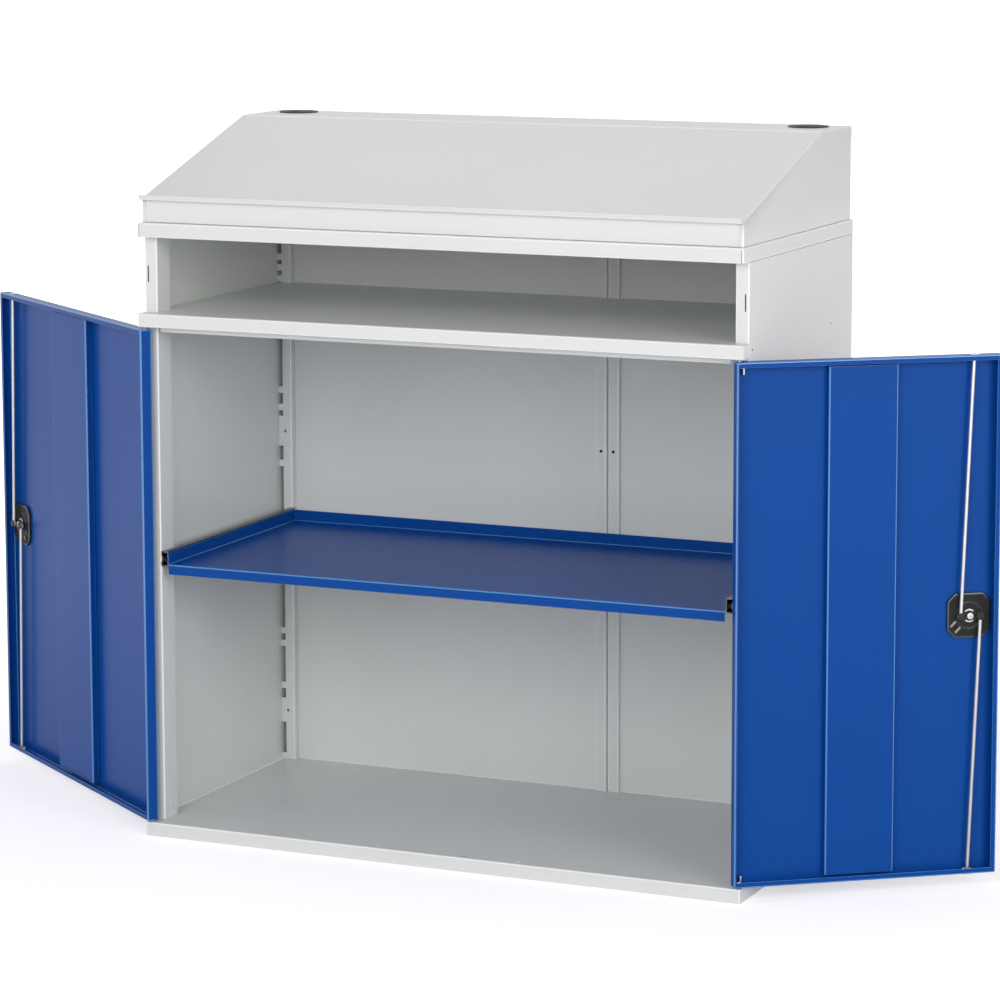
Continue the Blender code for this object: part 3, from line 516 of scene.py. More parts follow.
def pin_cutter(leaf, low, high):
    """A cutter for the hole of a door's hinge pins, between two heights."""
    hinge = leaf.hinge.xy.to_3d()
    hole = fitting_sizes().pin_radius + sheet_sizes().fit
    return bar("pin_hole", hole, hinge + Z * low, hinge + Z * high, SMALL_STEPS)


def rod_slot_half(wall=0):
    """Half the length and width of a rod's slot, with a wall round the rod."""
    fittings = fitting_sizes()
    return Vector((fittings.rod_slot / 2 + wall, fittings.rod_radius * ROD_ROOM + wall, 0))


def rod_cutter(leaf, low, high, wall=0):
    """A cutter for the slot of a door's rods, between two heights."""
    rod = leaf.closed_box("upper_rod")[1].y - fitting_sizes().rod_radius
    half = rod_slot_half(wall) + Z * (high - low) / 2
    return oblong("rod_slot", (leaf.lock.x, rod, (low + high) / 2), half, Z)


def cut_pin_and_rod_holes(piece, low, high):
    """Cuts both doors' hinge pin holes and rod slots through a level sheet of the body."""
    for leaf in LEAVES:
        cut(piece, pin_cutter(leaf, low, high), rod_cutter(leaf, low, high))


# Finishes


def new_group(name, inputs, outputs):
    """An empty shader node group with named sockets."""
    group = bpy.data.node_groups.new(name, "ShaderNodeTree")
    for socket, kind, default in inputs:
        made = group.interface.new_socket(socket, in_out="INPUT", socket_type=kind)
        made.default_value = default
    for socket, kind in outputs:
        group.interface.new_socket(socket, in_out="OUTPUT", socket_type=kind)
    return group, group.nodes.new("NodeGroupInput"), group.nodes.new("NodeGroupOutput")


def add_node(tree, kind, links=None, **settings):
    """A node with its settings, and links from other nodes' sockets to its inputs."""
    made = tree.nodes.new(kind)
    for setting, value in settings.items():
        setattr(made, setting, value)
    for socket, source in (links or {}).items():
        if isinstance(source, bpy.types.NodeSocket):
            tree.links.new(source, made.inputs[socket])
        else:
            made.inputs[socket].default_value = source
    return made


def mapped_noise(tree, scale, detail, stretch=(1, 1, 1)):
    """Noise over the piece's own coordinates, which a stretch draws out along an axis."""
    place = add_node(tree, "ShaderNodeTexCoord")
    mapping = add_node(tree, "ShaderNodeMapping", {"Vector": place.outputs["Object"], "Scale": stretch})
    links = {"Vector": mapping.outputs["Vector"], "Scale": scale, "Detail": detail}
    return add_node(tree, "ShaderNodeTexNoise", links).outputs["Fac"]


NOISE_ENDS = (0.3, 0.7)  # most of the noise lies between these


def spread(tree, value, low, high):
    """A noise value spread between two sockets or numbers."""
    least, most = NOISE_ENDS
    links = {"Value": value, "From Min": least, "From Max": most, "To Min": low, "To Max": high}
    return add_node(tree, "ShaderNodeMapRange", links).outputs["Result"]


def skin_group(name, fine_scale, fine_detail, broad_scale, stretch=(1, 1, 1)):
    """A surface effect: a colour that drifts over the piece, and a grain in its roughness and height."""
    found = bpy.data.node_groups.get(name)
    if found:
        return found
    inputs = (
        ("Colour", "NodeSocketColor", (0.5, 0.5, 0.5, 1)),
        ("Drift", "NodeSocketFloat", 0.03),
        ("Smooth", "NodeSocketFloat", 0.3),
        ("Rough", "NodeSocketFloat", 0.4),
        ("Broad", "NodeSocketFloat", 0.5),
    )
    outputs = (
        ("Colour", "NodeSocketColor"),
        ("Roughness", "NodeSocketFloat"),
        ("Height", "NodeSocketFloat"),
    )
    group, given, result = new_group(name, inputs, outputs)
    fine = mapped_noise(group, fine_scale, fine_detail, stretch)
    broad = mapped_noise(group, broad_scale, detail=2)
    less = add_node(group, "ShaderNodeMath", {0: 1.0, 1: given.outputs["Drift"]}, operation="SUBTRACT")
    more = add_node(group, "ShaderNodeMath", {0: 1.0, 1: given.outputs["Drift"]}, operation="ADD")
    shade = spread(group, broad, less.outputs["Value"], more.outputs["Value"])
    tone = add_node(group, "ShaderNodeVectorMath", {0: given.outputs["Colour"]}, operation="SCALE")
    group.links.new(shade, tone.inputs["Scale"])
    group.links.new(tone.outputs["Vector"], result.inputs["Colour"])
    roughness = spread(group, fine, given.outputs["Smooth"], given.outputs["Rough"])
    group.links.new(roughness, result.inputs["Roughness"])
    swell = add_node(group, "ShaderNodeMath", {0: broad, 1: given.outputs["Broad"]}, operation="MULTIPLY")
    height = add_node(group, "ShaderNodeMath", {0: fine, 1: swell.outputs["Value"]}, operation="ADD")
    group.links.new(height.outputs["Value"], result.inputs["Height"])
    return group


def new_finish(name, group, tone, values, bump, bump_distance, **constants):
    """A material whose colour, roughness and relief come from a skin group."""
    material = bpy.data.materials.new(name)
    material.use_nodes = True
    tree = material.node_tree
    shader = tree.nodes["Principled BSDF"]
    skin = add_node(tree, "ShaderNodeGroup", node_tree=group)
    skin.inputs["Colour"].default_value = (*tone, 1)
    for socket, value in values.items():
        skin.inputs[socket].default_value = value
    tree.links.new(skin.outputs["Colour"], shader.inputs["Base Color"])
    tree.links.new(skin.outputs["Roughness"], shader.inputs["Roughness"])
    relief = add_node(
        tree, "ShaderNodeBump",
        {"Height": skin.outputs["Height"], "Strength": bump, "Distance": bump_distance},
    )
    tree.links.new(relief.outputs["Normal"], shader.inputs["Normal"])
    for socket, value in constants.items():
        shader.inputs[socket.replace("_", " ")].default_value = value
    return material


def powder_coat(name, tone, gloss, shine):
    """Powder coat: a fine orange peel and a slight swell of the sheet beneath it."""
    rough = 1 - gloss
    group = skin_group("powder_coat_skin", fine_scale=420, fine_detail=2, broad_scale=5)
    values = {"Drift": 0.012, "Smooth": rough * 0.9, "Rough": rough * 1.15, "Broad": 2.5}
    return new_finish(
        name, group, tone, values, bump=0.05, bump_distance=0.0004, Specular_IOR_Level=shine
    )


def plated_metal(name, tone, smooth, rough, drift):
    """Plated or bare metal, a little cloudy, with fine drawing lines."""
    group = skin_group(
        "drawn_metal_skin", fine_scale=900, fine_detail=3, broad_scale=40, stretch=(1, 1, 0.05)
    )
    values = {"Drift": drift, "Smooth": smooth, "Rough": rough, "Broad": 0.4}
    return new_finish(name, group, tone, values, bump=0.08, bump_distance=0.0002, Metallic=1.0)


def moulded_plastic(name, tone, smooth, rough, drift, shine):
    """Moulded plastic with a fine grain."""
    group = skin_group("moulded_skin", fine_scale=1400, fine_detail=4, broad_scale=60)
    values = {"Drift": drift, "Smooth": smooth, "Rough": rough, "Broad": 0.3}
    return new_finish(
        name, group, tone, values, bump=0.12, bump_distance=0.0002, Specular_IOR_Level=shine
    )


# The fold paints are lighter copies of the face paints: a painted highlight along folds and edges.
PAINTS = {  # colour and gloss among the properties, and shine
    "grey_paint": ("grey", "gloss", 0.35),
    "grey_paint_fold": ("grey_fold", "fold_gloss", 0.8),
    "blue_paint": ("blue", "gloss", 0.09),
    "blue_paint_fold": ("blue_fold", "fold_gloss", 1.0),
}
PLASTICS = {  # colour among the properties, least and most roughness, drift and shine
    "black_plastic": ("black", 0.50, 0.66, 0.25, 0.18),
    "black_plastic_fold": ("black", 0.26, 0.34, 0.25, 0.8),
    "white_nylon": ("nylon", 0.35, 0.45, 0.02, 0.4),
}
METALS = {  # colour among the properties, least and most roughness, and drift
    "zinc_plate": ("zinc", 0.44, 0.54, 0.06),
    "slide_steel": ("steel", 0.26, 0.38, 0.06),
    "dark_cam_steel": ("cam", 0.42, 0.55, 0.15),
}


def finish_of(name):
    """The material of one of the record's slots, or of its folds, made when it is first asked for."""
    if name == "slide_steel_fold":
        name = "slide_steel"
    made = f"{name}_finish"
    found = bpy.data.materials.get(made)
    if found:
        return found
    tones = bpy.context.scene.cabinet_finish
    if name in PAINTS:
        tone, gloss, shine = PAINTS[name]
        return powder_coat(made, getattr(tones, tone), getattr(tones, gloss), shine)
    if name in PLASTICS:
        tone, *values = PLASTICS[name]
        return moulded_plastic(made, getattr(tones, tone), *values)
    tone, *values = METALS[name]
    return plated_metal(made, getattr(tones, tone), *values)


# Body


def make_base():
    sheet = sheet_sizes().sheet
    low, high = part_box("base_tray")
    tray = pan("base_pan", low, high, -Z, 0)
    cut_pin_and_rod_holes(tray, high.z - 3 * sheet, high.z + sheet)
    soften(tray)
    dress(tray, "cabinet", "grey_paint", "base_tray")


def make_floor_channels():
    """Three like channels: the first is folded, and the others are copies of it."""
    low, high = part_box("base_channel_1")
    corners = ((low.x, high.z), (low.x, low.z), (high.x, low.z), (high.x, high.z))
    first = swept_sheet("floor_channel_1", corners, low, high, Y, X)
    soften(first)
    dress(first, "cabinet", "grey_paint", "base_channel_1")
    for number in (2, 3):
        node = f"base_channel_{number}"
        channel = copy_of(first, f"floor_channel_{number}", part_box(node)[0] - low)
        dress(channel, "cabinet", "grey_paint", node)


POST_SLOT = (0.0025, 0.028)  # width and height
POST_SLOT_INSET = 0.0065
SIDE_HOLE_RADIUS = 0.0025
SIDE_HOLE_DEPTHS = (0.016, 0.394)  # behind the posts' fronts
RIVET_HEIGHTS = (0.049, 0.2145)  # on the posts' inner legs
RIVET_RADIUS = 0.0032
RIVET_RISE = 0.0011
RIVET_ARC = (30, 60, 90)  # degrees up the head


def make_side(name, side):
    sizes = sheet_sizes()
    low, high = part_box(f"{name}_side_panel")
    outer = high.x if side > 0 else low.x
    inner = outer - side * sizes.post_width
    corners = (
        (inner, low.y + sizes.post_return), (inner, low.y), (outer, low.y),
        (outer, high.y), (outer - side * sizes.rear_flange, high.y),
    )
    panel = swept_sheet(f"{name}_side_sheet", corners, low, high, Z, X * side)
    shelf_top, cover_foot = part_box("fixed_shelf")[1].z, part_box("top_cover")[0].z
    slot = (outer - side * POST_SLOT_INSET, low.y, (shelf_top + cover_foot) / 2)
    cut(panel, oblong("post_slot", slot, (POST_SLOT[0] / 2, sizes.sheet * 2, POST_SLOT[1] / 2), Y))
    reach = X * sizes.sheet * 2
    for depth in SIDE_HOLE_DEPTHS:
        place = Vector((outer, low.y + depth, shelf_top - sizes.lip_height / 2))
        cut(panel, bar("side_hole", SIDE_HOLE_RADIUS, place - reach, place + reach, SMALL_STEPS))
    soften(panel)
    dress(panel, "cabinet", "grey_paint", f"{name}_side_panel")
    make_post_rivets(name, side, inner, low.y + sizes.post_return / 2)


def make_post_rivets(name, side, x, y):
    """Low heads, one over the other on a post's inner leg."""
    under = -sheet_sizes().sheet
    profile = [(0, under), (RIVET_RADIUS, under), (RIVET_RADIUS, 0)]
    for degrees in RIVET_ARC:
        turn = math.radians(degrees)
        profile.append((RIVET_RADIUS * math.cos(turn), RIVET_RISE * math.sin(turn)))
    lowest, *others = RIVET_HEIGHTS
    first = turned(f"{name}_post_rivets", profile, (x, y, lowest), -X * side, SMALL_STEPS)
    rivets = join([first, *(copy_of(first, "rivet", Z * (height - lowest)) for height in others)])
    bpy.ops.object.shade_smooth_by_angle(angle=SMOOTH_ANGLE)
    dress(rivets, "cabinet", "grey_paint")


STRIP_SEAM = 0.0024
STRIP_LIP = 0.004  # of the left panel, which closes the seam from behind
STRIP_HOLE_RADIUS = 0.0025
STRIP_HOLE_HEIGHT = 0.640
# A near-black plug in each strip's hole: its dark is painted shade, standing for the shade seen in the open
# hole.
STRIP_HOLE_SHADE_PLUG = (  # radius, and height over the strip
    (0, 0.0005), (0.0021, 0.0005), (0.0028, 0.0002), (0.0028, 0.00005), (0.0023, 0.00005),
    (0.0023, -0.0014), (0.0027, -0.0016), (0.0027, -0.0026), (0, -0.0030),
)


def make_rear_panel(name, side):
    sizes = sheet_sizes()
    low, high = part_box(f"{name}_rear_panel")
    wall, seam = (high.x, low.x) if side > 0 else (low.x, high.x)
    strip, front = seam + side * sizes.strip, low.y + sizes.sheet
    meeting = (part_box("left_rear_panel")[1].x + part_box("right_rear_panel")[0].x) / 2
    edge = meeting + side * (sizes.sheet + STRIP_SEAM / 2)
    corners = [(wall, high.y), (strip, high.y), (strip, front), (edge, front)]
    if side < 0:
        corners += [(edge, high.y), (meeting + STRIP_LIP, high.y)]
    else:
        corners.append((edge, high.y - 2 * sizes.sheet))
    panel = swept_sheet(f"{name}_rear_sheet", corners, low, high, Z, -Y)
    hole = Vector((seam + side * sizes.strip / 2, front, STRIP_HOLE_HEIGHT))
    reach = Y * sizes.sheet * 2
    cut(panel, bar("strip_hole", STRIP_HOLE_RADIUS, hole - reach, hole + reach, SMALL_STEPS))
    soften(panel)
    dress(panel, "cabinet", "grey_paint", f"{name}_rear_panel")
    # The plug's near-black finish paints the shade of the open hole.
    rivet = turned(f"{name}_strip_rivet", STRIP_HOLE_SHADE_PLUG, (hole.x, low.y, hole.z), -Y, SMALL_STEPS)
    dress(rivet, "cabinet", "dark_cam_steel")


UPRIGHT_FOLD = 0.8  # of the other folds' radius


def make_upright(name, side):
    """The notched strip in a rear corner, from its solid, with a rounded fold."""
    strip = merged_node(f"{name}_rear_upright", f"{name}_upright_strip")
    low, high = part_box(f"{name}_rear_upright")
    corner = Vector((low.x if side > 0 else high.x, low.y))
    with Bench(strip) as bench:
        bench.pick("EDGE", lambda edge: along(edge, Z) and (middle(edge).xy - corner).length < NEAR)
        bench.fold(sheet_sizes().fold * UPRIGHT_FOLD)
    soften(strip)
    dress(strip, "cabinet", "grey_paint", f"{name}_rear_upright")


STOP_INSET = 0.006  # the door stop ends this far inside the posts
SHELF_FLANGE = 0.020  # along the rear of the fixed shelf


def make_fixed_shelf():
    """The shelf's front is folded into a lip, and the lip's foot into the stop that the doors close on."""
    sizes = sheet_sizes()
    low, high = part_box("fixed_shelf")
    lip_foot, stop = high.z - sizes.lip_height, low.y + sizes.stop_depth
    corners = (
        (stop, low.z), (stop, lip_foot), (low.y, lip_foot),
        (low.y, high.z), (high.y, high.z), (high.y, high.z - SHELF_FLANGE),
    )
    shelf = swept_sheet("fixed_shelf_sheet", corners, low, high, X, Y)
    for name, side in SIDES:
        fit_shelf_end(shelf, name, side, lip_foot, stop)
    over = sizes.fold * 2
    left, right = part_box("left_rear_panel"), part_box("right_rear_panel")
    reach = sizes.strip + sizes.sheet + sizes.fit
    cut(shelf, block(
        "strip_notch",
        (left[1].x - reach, left[0].y - sizes.fit, low.z - over),
        (right[0].x + reach, high.y + over, high.z + over),
    ))
    cut_pin_and_rod_holes(shelf, lip_foot - sizes.sheet, lip_foot + 3 * sizes.sheet)
    soften(shelf)
    dress(shelf, "cabinet", "grey_paint", "fixed_shelf")


def fit_shelf_end(shelf, name, side, lip_foot, stop):
    """Cuts an end of the shelf round its post, side and upright, ends the stop and closes the lip."""
    sizes = sheet_sizes()
    low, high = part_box("fixed_shelf")
    post_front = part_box("left_side_panel")[0].y
    post_rear = post_front + sizes.post_return + sizes.fit
    upright_low, upright_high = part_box(f"{name}_rear_upright")
    upright_inner = min(abs(upright_low.x), abs(upright_high.x)) - sizes.fit
    upright_front = upright_low.y - sizes.fit
    inner = high.x - sizes.post_width - sizes.fit
    over = sizes.fold * 2
    outer = side * (high.x + over)
    notches = (
        (inner, post_front - sizes.fit, post_rear),
        (high.x - sizes.sheet - sizes.fit, post_rear - NEAR, upright_front),
        (upright_inner, upright_front - NEAR, high.y + over),
    )
    for edge, here, there in notches:
        cut(shelf, block("notch", (side * edge, here, low.z - over), (outer, there, high.z + over)))
    cut(shelf, block(
        "stop_end",
        (side * (inner - STOP_INSET), stop - over, low.z - over),
        (outer, stop + over, lip_foot - sizes.fit),
    ))
    fuse(shelf, block(
        "lip_end",
        (side * (high.x - sizes.sheet), low.y + sizes.sheet / 2, lip_foot + sizes.sheet / 2),
        (side * (high.x - sizes.fit / 3), post_front - sizes.sheet, high.z - sizes.sheet / 2),
    ))


SLIT_INSET = 0.0042  # from the cover's ends to its corner slits
SLIT_TOP = 0.0035  # below the cover's top


def make_top_cover():
    sizes = sheet_sizes()
    low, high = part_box("top_cover")

    def widen_front_lip(bench):
        lip = low.y + sizes.rim_lip
        bench.pick("EDGE", lambda edge: len(edge.link_faces) == 1 and abs(middle(edge).y - lip) < NEAR)
        bpy.ops.transform.translate(value=Y * (sizes.front_rim_lip - sizes.rim_lip))

    cover = pan("top_cover_pan", low, high, -Z, sizes.rim_lip, widen_front_lip)
    half = (sizes.slit / 2, sizes.sheet * 2, (high.z - SLIT_TOP - low.z) / 2)
    for side in (-1, 1):
        place = (side * (high.x - SLIT_INSET), low.y, (low.z + high.z - SLIT_TOP) / 2)
        cut(cover, oblong("corner_slit", place, half, Y))
    soften(cover)
    dress(cover, "cabinet", "grey_paint", "top_cover")


# Desk


DESK_REAR_FLANGE = 0.015
DESK_FRONT_FLANGE = 0.007
LEDGE_FLANGE = 0.020
HIDDEN_FLANGE = 0.012
SLOPE_TILT = 0.1  # least cosine between the slope's normal and the way to the front
END_ROUND = 0.95  # radius at the ends of the desk's top, as a share of the sheet


def slope_plane():
    """A point on the desk's writing slope, and its outward normal, from the solid's largest leaning face."""
    faces = frame["nodes"]["desk_top"].data.polygons
    leaning = [face for face in faces if face.normal.y < -SLOPE_TILT and face.normal.z > LEANING]
    largest = max(leaning, key=lambda face: face.area)
    return largest.center.copy(), largest.normal.copy()


def make_desk_top():
    sizes, fittings = sheet_sizes(), fitting_sizes()
    low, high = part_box("desk_top")
    point, normal = slope_plane()
    foot_y = low.y + normal.z * sizes.sheet - normal.y * sizes.paper_stop
    foot = Vector((low.x, foot_y, point.z - (foot_y - point.y) * normal.y / normal.z))
    fold = Vector((low.x, high.y - sizes.ledge_depth, high.z))
    path = [
        foot + normal * sizes.paper_stop, foot, fold,
        Vector((low.x, high.y, high.z)), Vector((low.x, high.y, high.z - LEDGE_FLANGE)),
    ]
    along_slope = (fold - foot).normalized()
    top = folded_sheet("desk_top_sheet", path, X * (high.x - low.x), -along_slope)
    with Bench(top) as bench:
        # The rounded side edges and the end faces take the lighter fold paint: a painted highlight along the
        # slope's sides.
        bench.pick("EDGE", lambda edge: (
            abs(abs(middle(edge).x) - high.x) < NEAR
            and any(face.normal.z > LEANING for face in edge.link_faces)
        ))
        bench.fold(sizes.sheet * END_ROUND)
        bench.mark_as_fold(lambda face: abs(face.normal.x) > FACING)
    hole = fittings.outlet_neck + sizes.fit
    for name, _ in SIDES:
        ring_low, ring_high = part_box(f"{name}_outlet_ring")
        centre = (ring_low + ring_high) / 2
        reach = Z * (high.z - ring_low.z)
        cut(top, bar("outlet_hole", hole, centre - reach, centre + reach, SPIN_STEPS))
    soften(top, sizes.rounding / 2)
    dress(top, "cabinet", "grey_paint", "desk_top")


def make_desk_side(name, side):
    """A desk side is folded over-long and cut off under the slope and the ledge."""
    sizes = sheet_sizes()
    low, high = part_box(f"desk_{name}_side")
    point, normal = slope_plane()
    outer = high.x if side > 0 else low.x
    corners = (
        (outer - side * DESK_FRONT_FLANGE, low.y), (outer, low.y),
        (outer, high.y), (outer - side * DESK_REAR_FLANGE, high.y),
    )
    over = Z * 2 * sizes.sheet
    panel = swept_sheet(f"desk_{name}_sheet", corners, low, high + over, Z, Y)
    soften(panel)
    under_ledge = Vector((0, 0, high.z + sizes.fit))
    for place, facing in ((point - normal * sizes.sheet, normal), (under_ledge, Z)):
        with Bench(panel) as bench:
            bench.pick("FACE")
            bpy.ops.mesh.bisect(plane_co=place, plane_no=facing, clear_outer=True, use_fill=True)
    dress(panel, "cabinet", "grey_paint", f"desk_{name}_side")


def make_desk_front_and_back():
    """Both have a hidden flange along the foot, and the back has one along its head too."""
    for name, inward in (("front", 1), ("back", -1)):
        low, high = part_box(f"desk_{name}")
        outer = low.y if inward > 0 else high.y
        hidden = outer + inward * HIDDEN_FLANGE
        corners = [(hidden, low.z), (outer, low.z), (outer, high.z)]
        if name == "back":
            corners.append((hidden, high.z))
        panel = swept_sheet(f"desk_{name}_sheet", corners, low, high, X, Z)
        soften(panel)
        dress(panel, "cabinet", "grey_paint", f"desk_{name}")


RING_EDGE = (0.0008, 0.0009)  # width and drop at a ring's outer edge
RING_BEVEL = 0.0006  # at its inner edge
CAP_EDGE = (0.0012, 0.0008)  # width and drop at a cap's edge
CAP_GROOVE = (0.004, 0.002, 0.0007)  # distance from the edge, width and depth
CAP_RISE = 0.0003  # of a cap's middle above its edge
NOTCH_HALF = 0.009  # half the width of a cap's notch
NOTCH_END = 0.012  # from the notch to the cap's middle
NOTCH_CORNER = 0.006


def outlet_centre(name):
    low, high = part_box(f"{name}_outlet_ring")
    return Vector(((low.x + high.x) / 2, (low.y + high.y) / 2, 0))


def make_outlet_ring(name):
    """The ring of a cable outlet lies on the ledge and reaches down through it."""
    fittings, fit = fitting_sizes(), sheet_sizes().fit
    low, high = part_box(f"{name}_outlet_ring")
    flange = (high.x - low.x) / 2
    bore, way = fittings.outlet_bore, fittings.outlet_seat
    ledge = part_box("desk_top")[1].z + fit
    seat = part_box(f"{name}_outlet_cap")[0].z - fit
    width, drop = RING_EDGE
    profile = (
        (flange, ledge), (flange, high.z - drop), (flange - width, high.z),
        (bore + RING_BEVEL, high.z), (bore, high.z - RING_BEVEL), (bore, seat),
        (way, seat), (way, low.z), (fittings.outlet_neck, low.z), (fittings.outlet_neck, ledge),
    )
    ring = turned(f"{name}_outlet_rim", profile, outlet_centre(name))
    edge_slots(ring)
    soften(ring, FINE_ROUNDING)
    dress(ring, "cabinet", "black_plastic", f"{name}_outlet_ring")


def make_outlet_cap(name):
    """The cap of a cable outlet has a groove round it and a notch for cables at its front."""
    low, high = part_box(f"{name}_outlet_cap")
    ring_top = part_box(f"{name}_outlet_ring")[1].z
    centre = outlet_centre(name)
    radius = fitting_sizes().outlet_bore - sheet_sizes().fit
    width, drop = CAP_EDGE
    inset, across, depth = CAP_GROOVE
    groove = radius - inset
    profile = (
        (0, low.z), (radius, low.z), (radius, high.z - drop), (radius - width, high.z),
        (groove, high.z), (groove - across / 2, high.z - depth), (groove - across, high.z),
        (0, high.z + CAP_RISE),
    )
    cap = turned(f"{name}_outlet_lid", profile, centre)
    front = low.y - 2 * OVERCUT
    notch = block(
        "notch",
        (centre.x - NOTCH_HALF, front, low.z - OVERCUT),
        (centre.x + NOTCH_HALF, centre.y - NOTCH_END, ring_top + OVERCUT),
    )
    with Bench(notch) as bench:
        bench.pick("EDGE", lambda edge: along(edge, Z) and middle(edge).y > front + NEAR)
        bench.bevel(NOTCH_CORNER, CORNER_STEPS)
    cut(cap, notch)
    edge_slots(cap)
    soften(cap, FINE_ROUNDING)
    dress(cap, "cabinet", "black_plastic", f"{name}_outlet_cap")


# Pull-out shelf


TRAY_RISE = 0.0047  # of the tray's floor over the foot of the rails


def make_shelf_tray():
    sizes = sheet_sizes()
    low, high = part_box("shelf_tray")
    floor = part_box("left_slide_rail")[0].z + TRAY_RISE
    rise, drop = Z * (high.z - floor), Z * (low.z - floor)
    front, rear, half = low.y, high.y - sizes.sheet, high.x - sizes.sheet
    tray = start(
        "shelf_tray_sheet", bpy.ops.mesh.primitive_plane_add, (2 * half, rear - front, 1),
        size=1, location=(0, (front + rear) / 2, floor),
    )
    with Bench(tray) as bench:
        edges = (((0, front), drop), ((0, rear), rise), ((-half, None), rise), ((half, None), rise))
        for (x, y), step in edges:
            bench.pick("EDGE", lambda edge: (
                all(abs(vert.co.z - floor) < NEAR for vert in edge.verts)
                and abs(middle(edge).x - x) < NEAR and (y is None or abs(middle(edge).y - y) < NEAR)
            ))
            bench.extrude(step)
        bench.pick("EDGE", lambda edge: is_fold(edge) and abs(middle(edge).y - front) < NEAR)
        bench.fold(sizes.fold)
        bench.pick("EDGE", is_fold)
        bench.fold(sizes.fold - sizes.sheet)
        bench.turn_out()
        faces = bmesh.from_edit_mesh(tray.data).faces
        if max(faces, key=lambda face: face.calc_area()).normal.z < 0:
            bpy.ops.mesh.flip_normals()
    thicken(tray)
    soften(tray)
    dress(tray, "shelf", "blue_paint", "shelf_tray")


RACE_DEPTH = 0.0016
RACE_WIDTH = 0.009
RAIL_FOLD = 0.0013


def make_slides():
    """The rails with a race pressed into their webs, and the tray's runners inside them."""
    for name, side in SIDES:
        low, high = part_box(f"{name}_slide_rail")
        web, mouth = (high.x, low.x) if side > 0 else (low.x, high.x)
        waist, race = (low.z + high.z) / 2, web - side * RACE_DEPTH
        inner, outer = RACE_WIDTH / 2, RACE_WIDTH / 2 + RACE_DEPTH
        corners = (
            (mouth, low.z), (web, low.z), (web, waist - outer), (race, waist - inner),
            (race, waist + inner), (web, waist + outer), (web, high.z), (mouth, high.z),
        )
        rail = swept_sheet(f"{name}_slide_channel", corners, low, high, Y, Z, RAIL_FOLD)
        soften(rail, FINE_ROUNDING)
        dress(rail, "cabinet", "slide_steel", f"{name}_slide_rail")

        low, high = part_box(f"{name}_slide_runner")
        web, mouth = (low.x, high.x) if side > 0 else (high.x, low.x)
        corners = ((mouth, low.z), (web, low.z), (web, high.z), (mouth, high.z))
        runner = swept_sheet(f"{name}_slide_tongue", corners, low, high, Y, Z)
        soften(runner, FINE_ROUNDING)
        dress(runner, "shelf", "slide_steel", f"{name}_slide_runner")


# Doors


SLIT_START = 1.3  # from a door's corner to its slit, as a share of the fold's radius
NECK_WALL = 0.003  # of the lock housings where they pass through the door
GUIDE_NECK = 0.0011  # wall of the guides where they pass through the door's edge


def cut_corner_slits(door, leaf, low, high):
    """Cuts the slits in the lip's corners, at the edge away from the hinge."""
    sizes = sheet_sizes()
    free_edge = low.x if leaf.side > 0 else high.x
    for z, up in ((low.z, 1), (high.z, -1)):
        mitre = Vector((leaf.side, 0, up)) * sizes.door_lip
        begin, end = sizes.fold * SLIT_START, mitre.length + sizes.sheet
        half = Vector(((end - begin) / 2, sizes.sheet * 2, sizes.slit / 2))
        slit = block("corner_slit", -half, half)
        place = Vector((free_edge, high.y, z)) + mitre.normalized() * (begin + end) / 2
        turn = Matrix.Rotation(math.atan2(-mitre.z, mitre.x), 4, "Y")
        slit.matrix_world = Matrix.Translation(place) @ turn
        cut(door, slit)


def make_door_pan(leaf):
    sizes = sheet_sizes()
    low, high = leaf.closed_box("door_panel")
    door = pan(f"{leaf.name}_door_pan", low, high, Y, sizes.door_lip)
    cut_corner_slits(door, leaf, low, high)
    hinge_edge, over = high.x if leaf.side > 0 else low.x, sizes.sheet * 2
    cut(door, block(
        "lip_surplus",
        (hinge_edge - leaf.side * sizes.hinge_lip, high.y - over, low.z + sizes.door_lip),
        (hinge_edge - leaf.side * 2 * sizes.door_lip, high.y + over, high.z - sizes.door_lip),
    ))
    reach = sizes.sheet * 3
    lock = Vector((leaf.lock.x, low.y, leaf.lock.z))
    hole = fitting_sizes().cup_recess + NECK_WALL + sizes.fit
    cut(door, bar("lock_hole", hole, lock - Y * reach, lock + Y * reach, SPIN_STEPS))
    for edge in (low.z, high.z):
        ends = edge - reach, edge + reach
        cut(door, pin_cutter(leaf, *ends), rod_cutter(leaf, *ends, GUIDE_NECK))
    soften(door)
    leaf.hang(door, "door", "blue_paint", "door_panel")


def make_stiffener(leaf):
    low, high = leaf.closed_box("door_stiffener")
    foot = sheet_sizes().stiffener_foot
    corners = (
        (low.x + foot, low.y), (low.x, low.y), (low.x, high.y),
        (high.x, high.y), (high.x, low.y), (high.x - foot, low.y),
    )
    stiffener = swept_sheet(f"{leaf.name}_door_rib", corners, low, high, Z, Y)
    soften(stiffener)
    leaf.hang(stiffener, "door", "blue_paint", "door_stiffener")


PIN_RUNS = {"top": 0.0095, "bottom": 0.0055}  # from the door's edges to the level run of the pins
PIN_ROUND = 0.35  # rounding of the pins' ends, as a share of the wire's radius


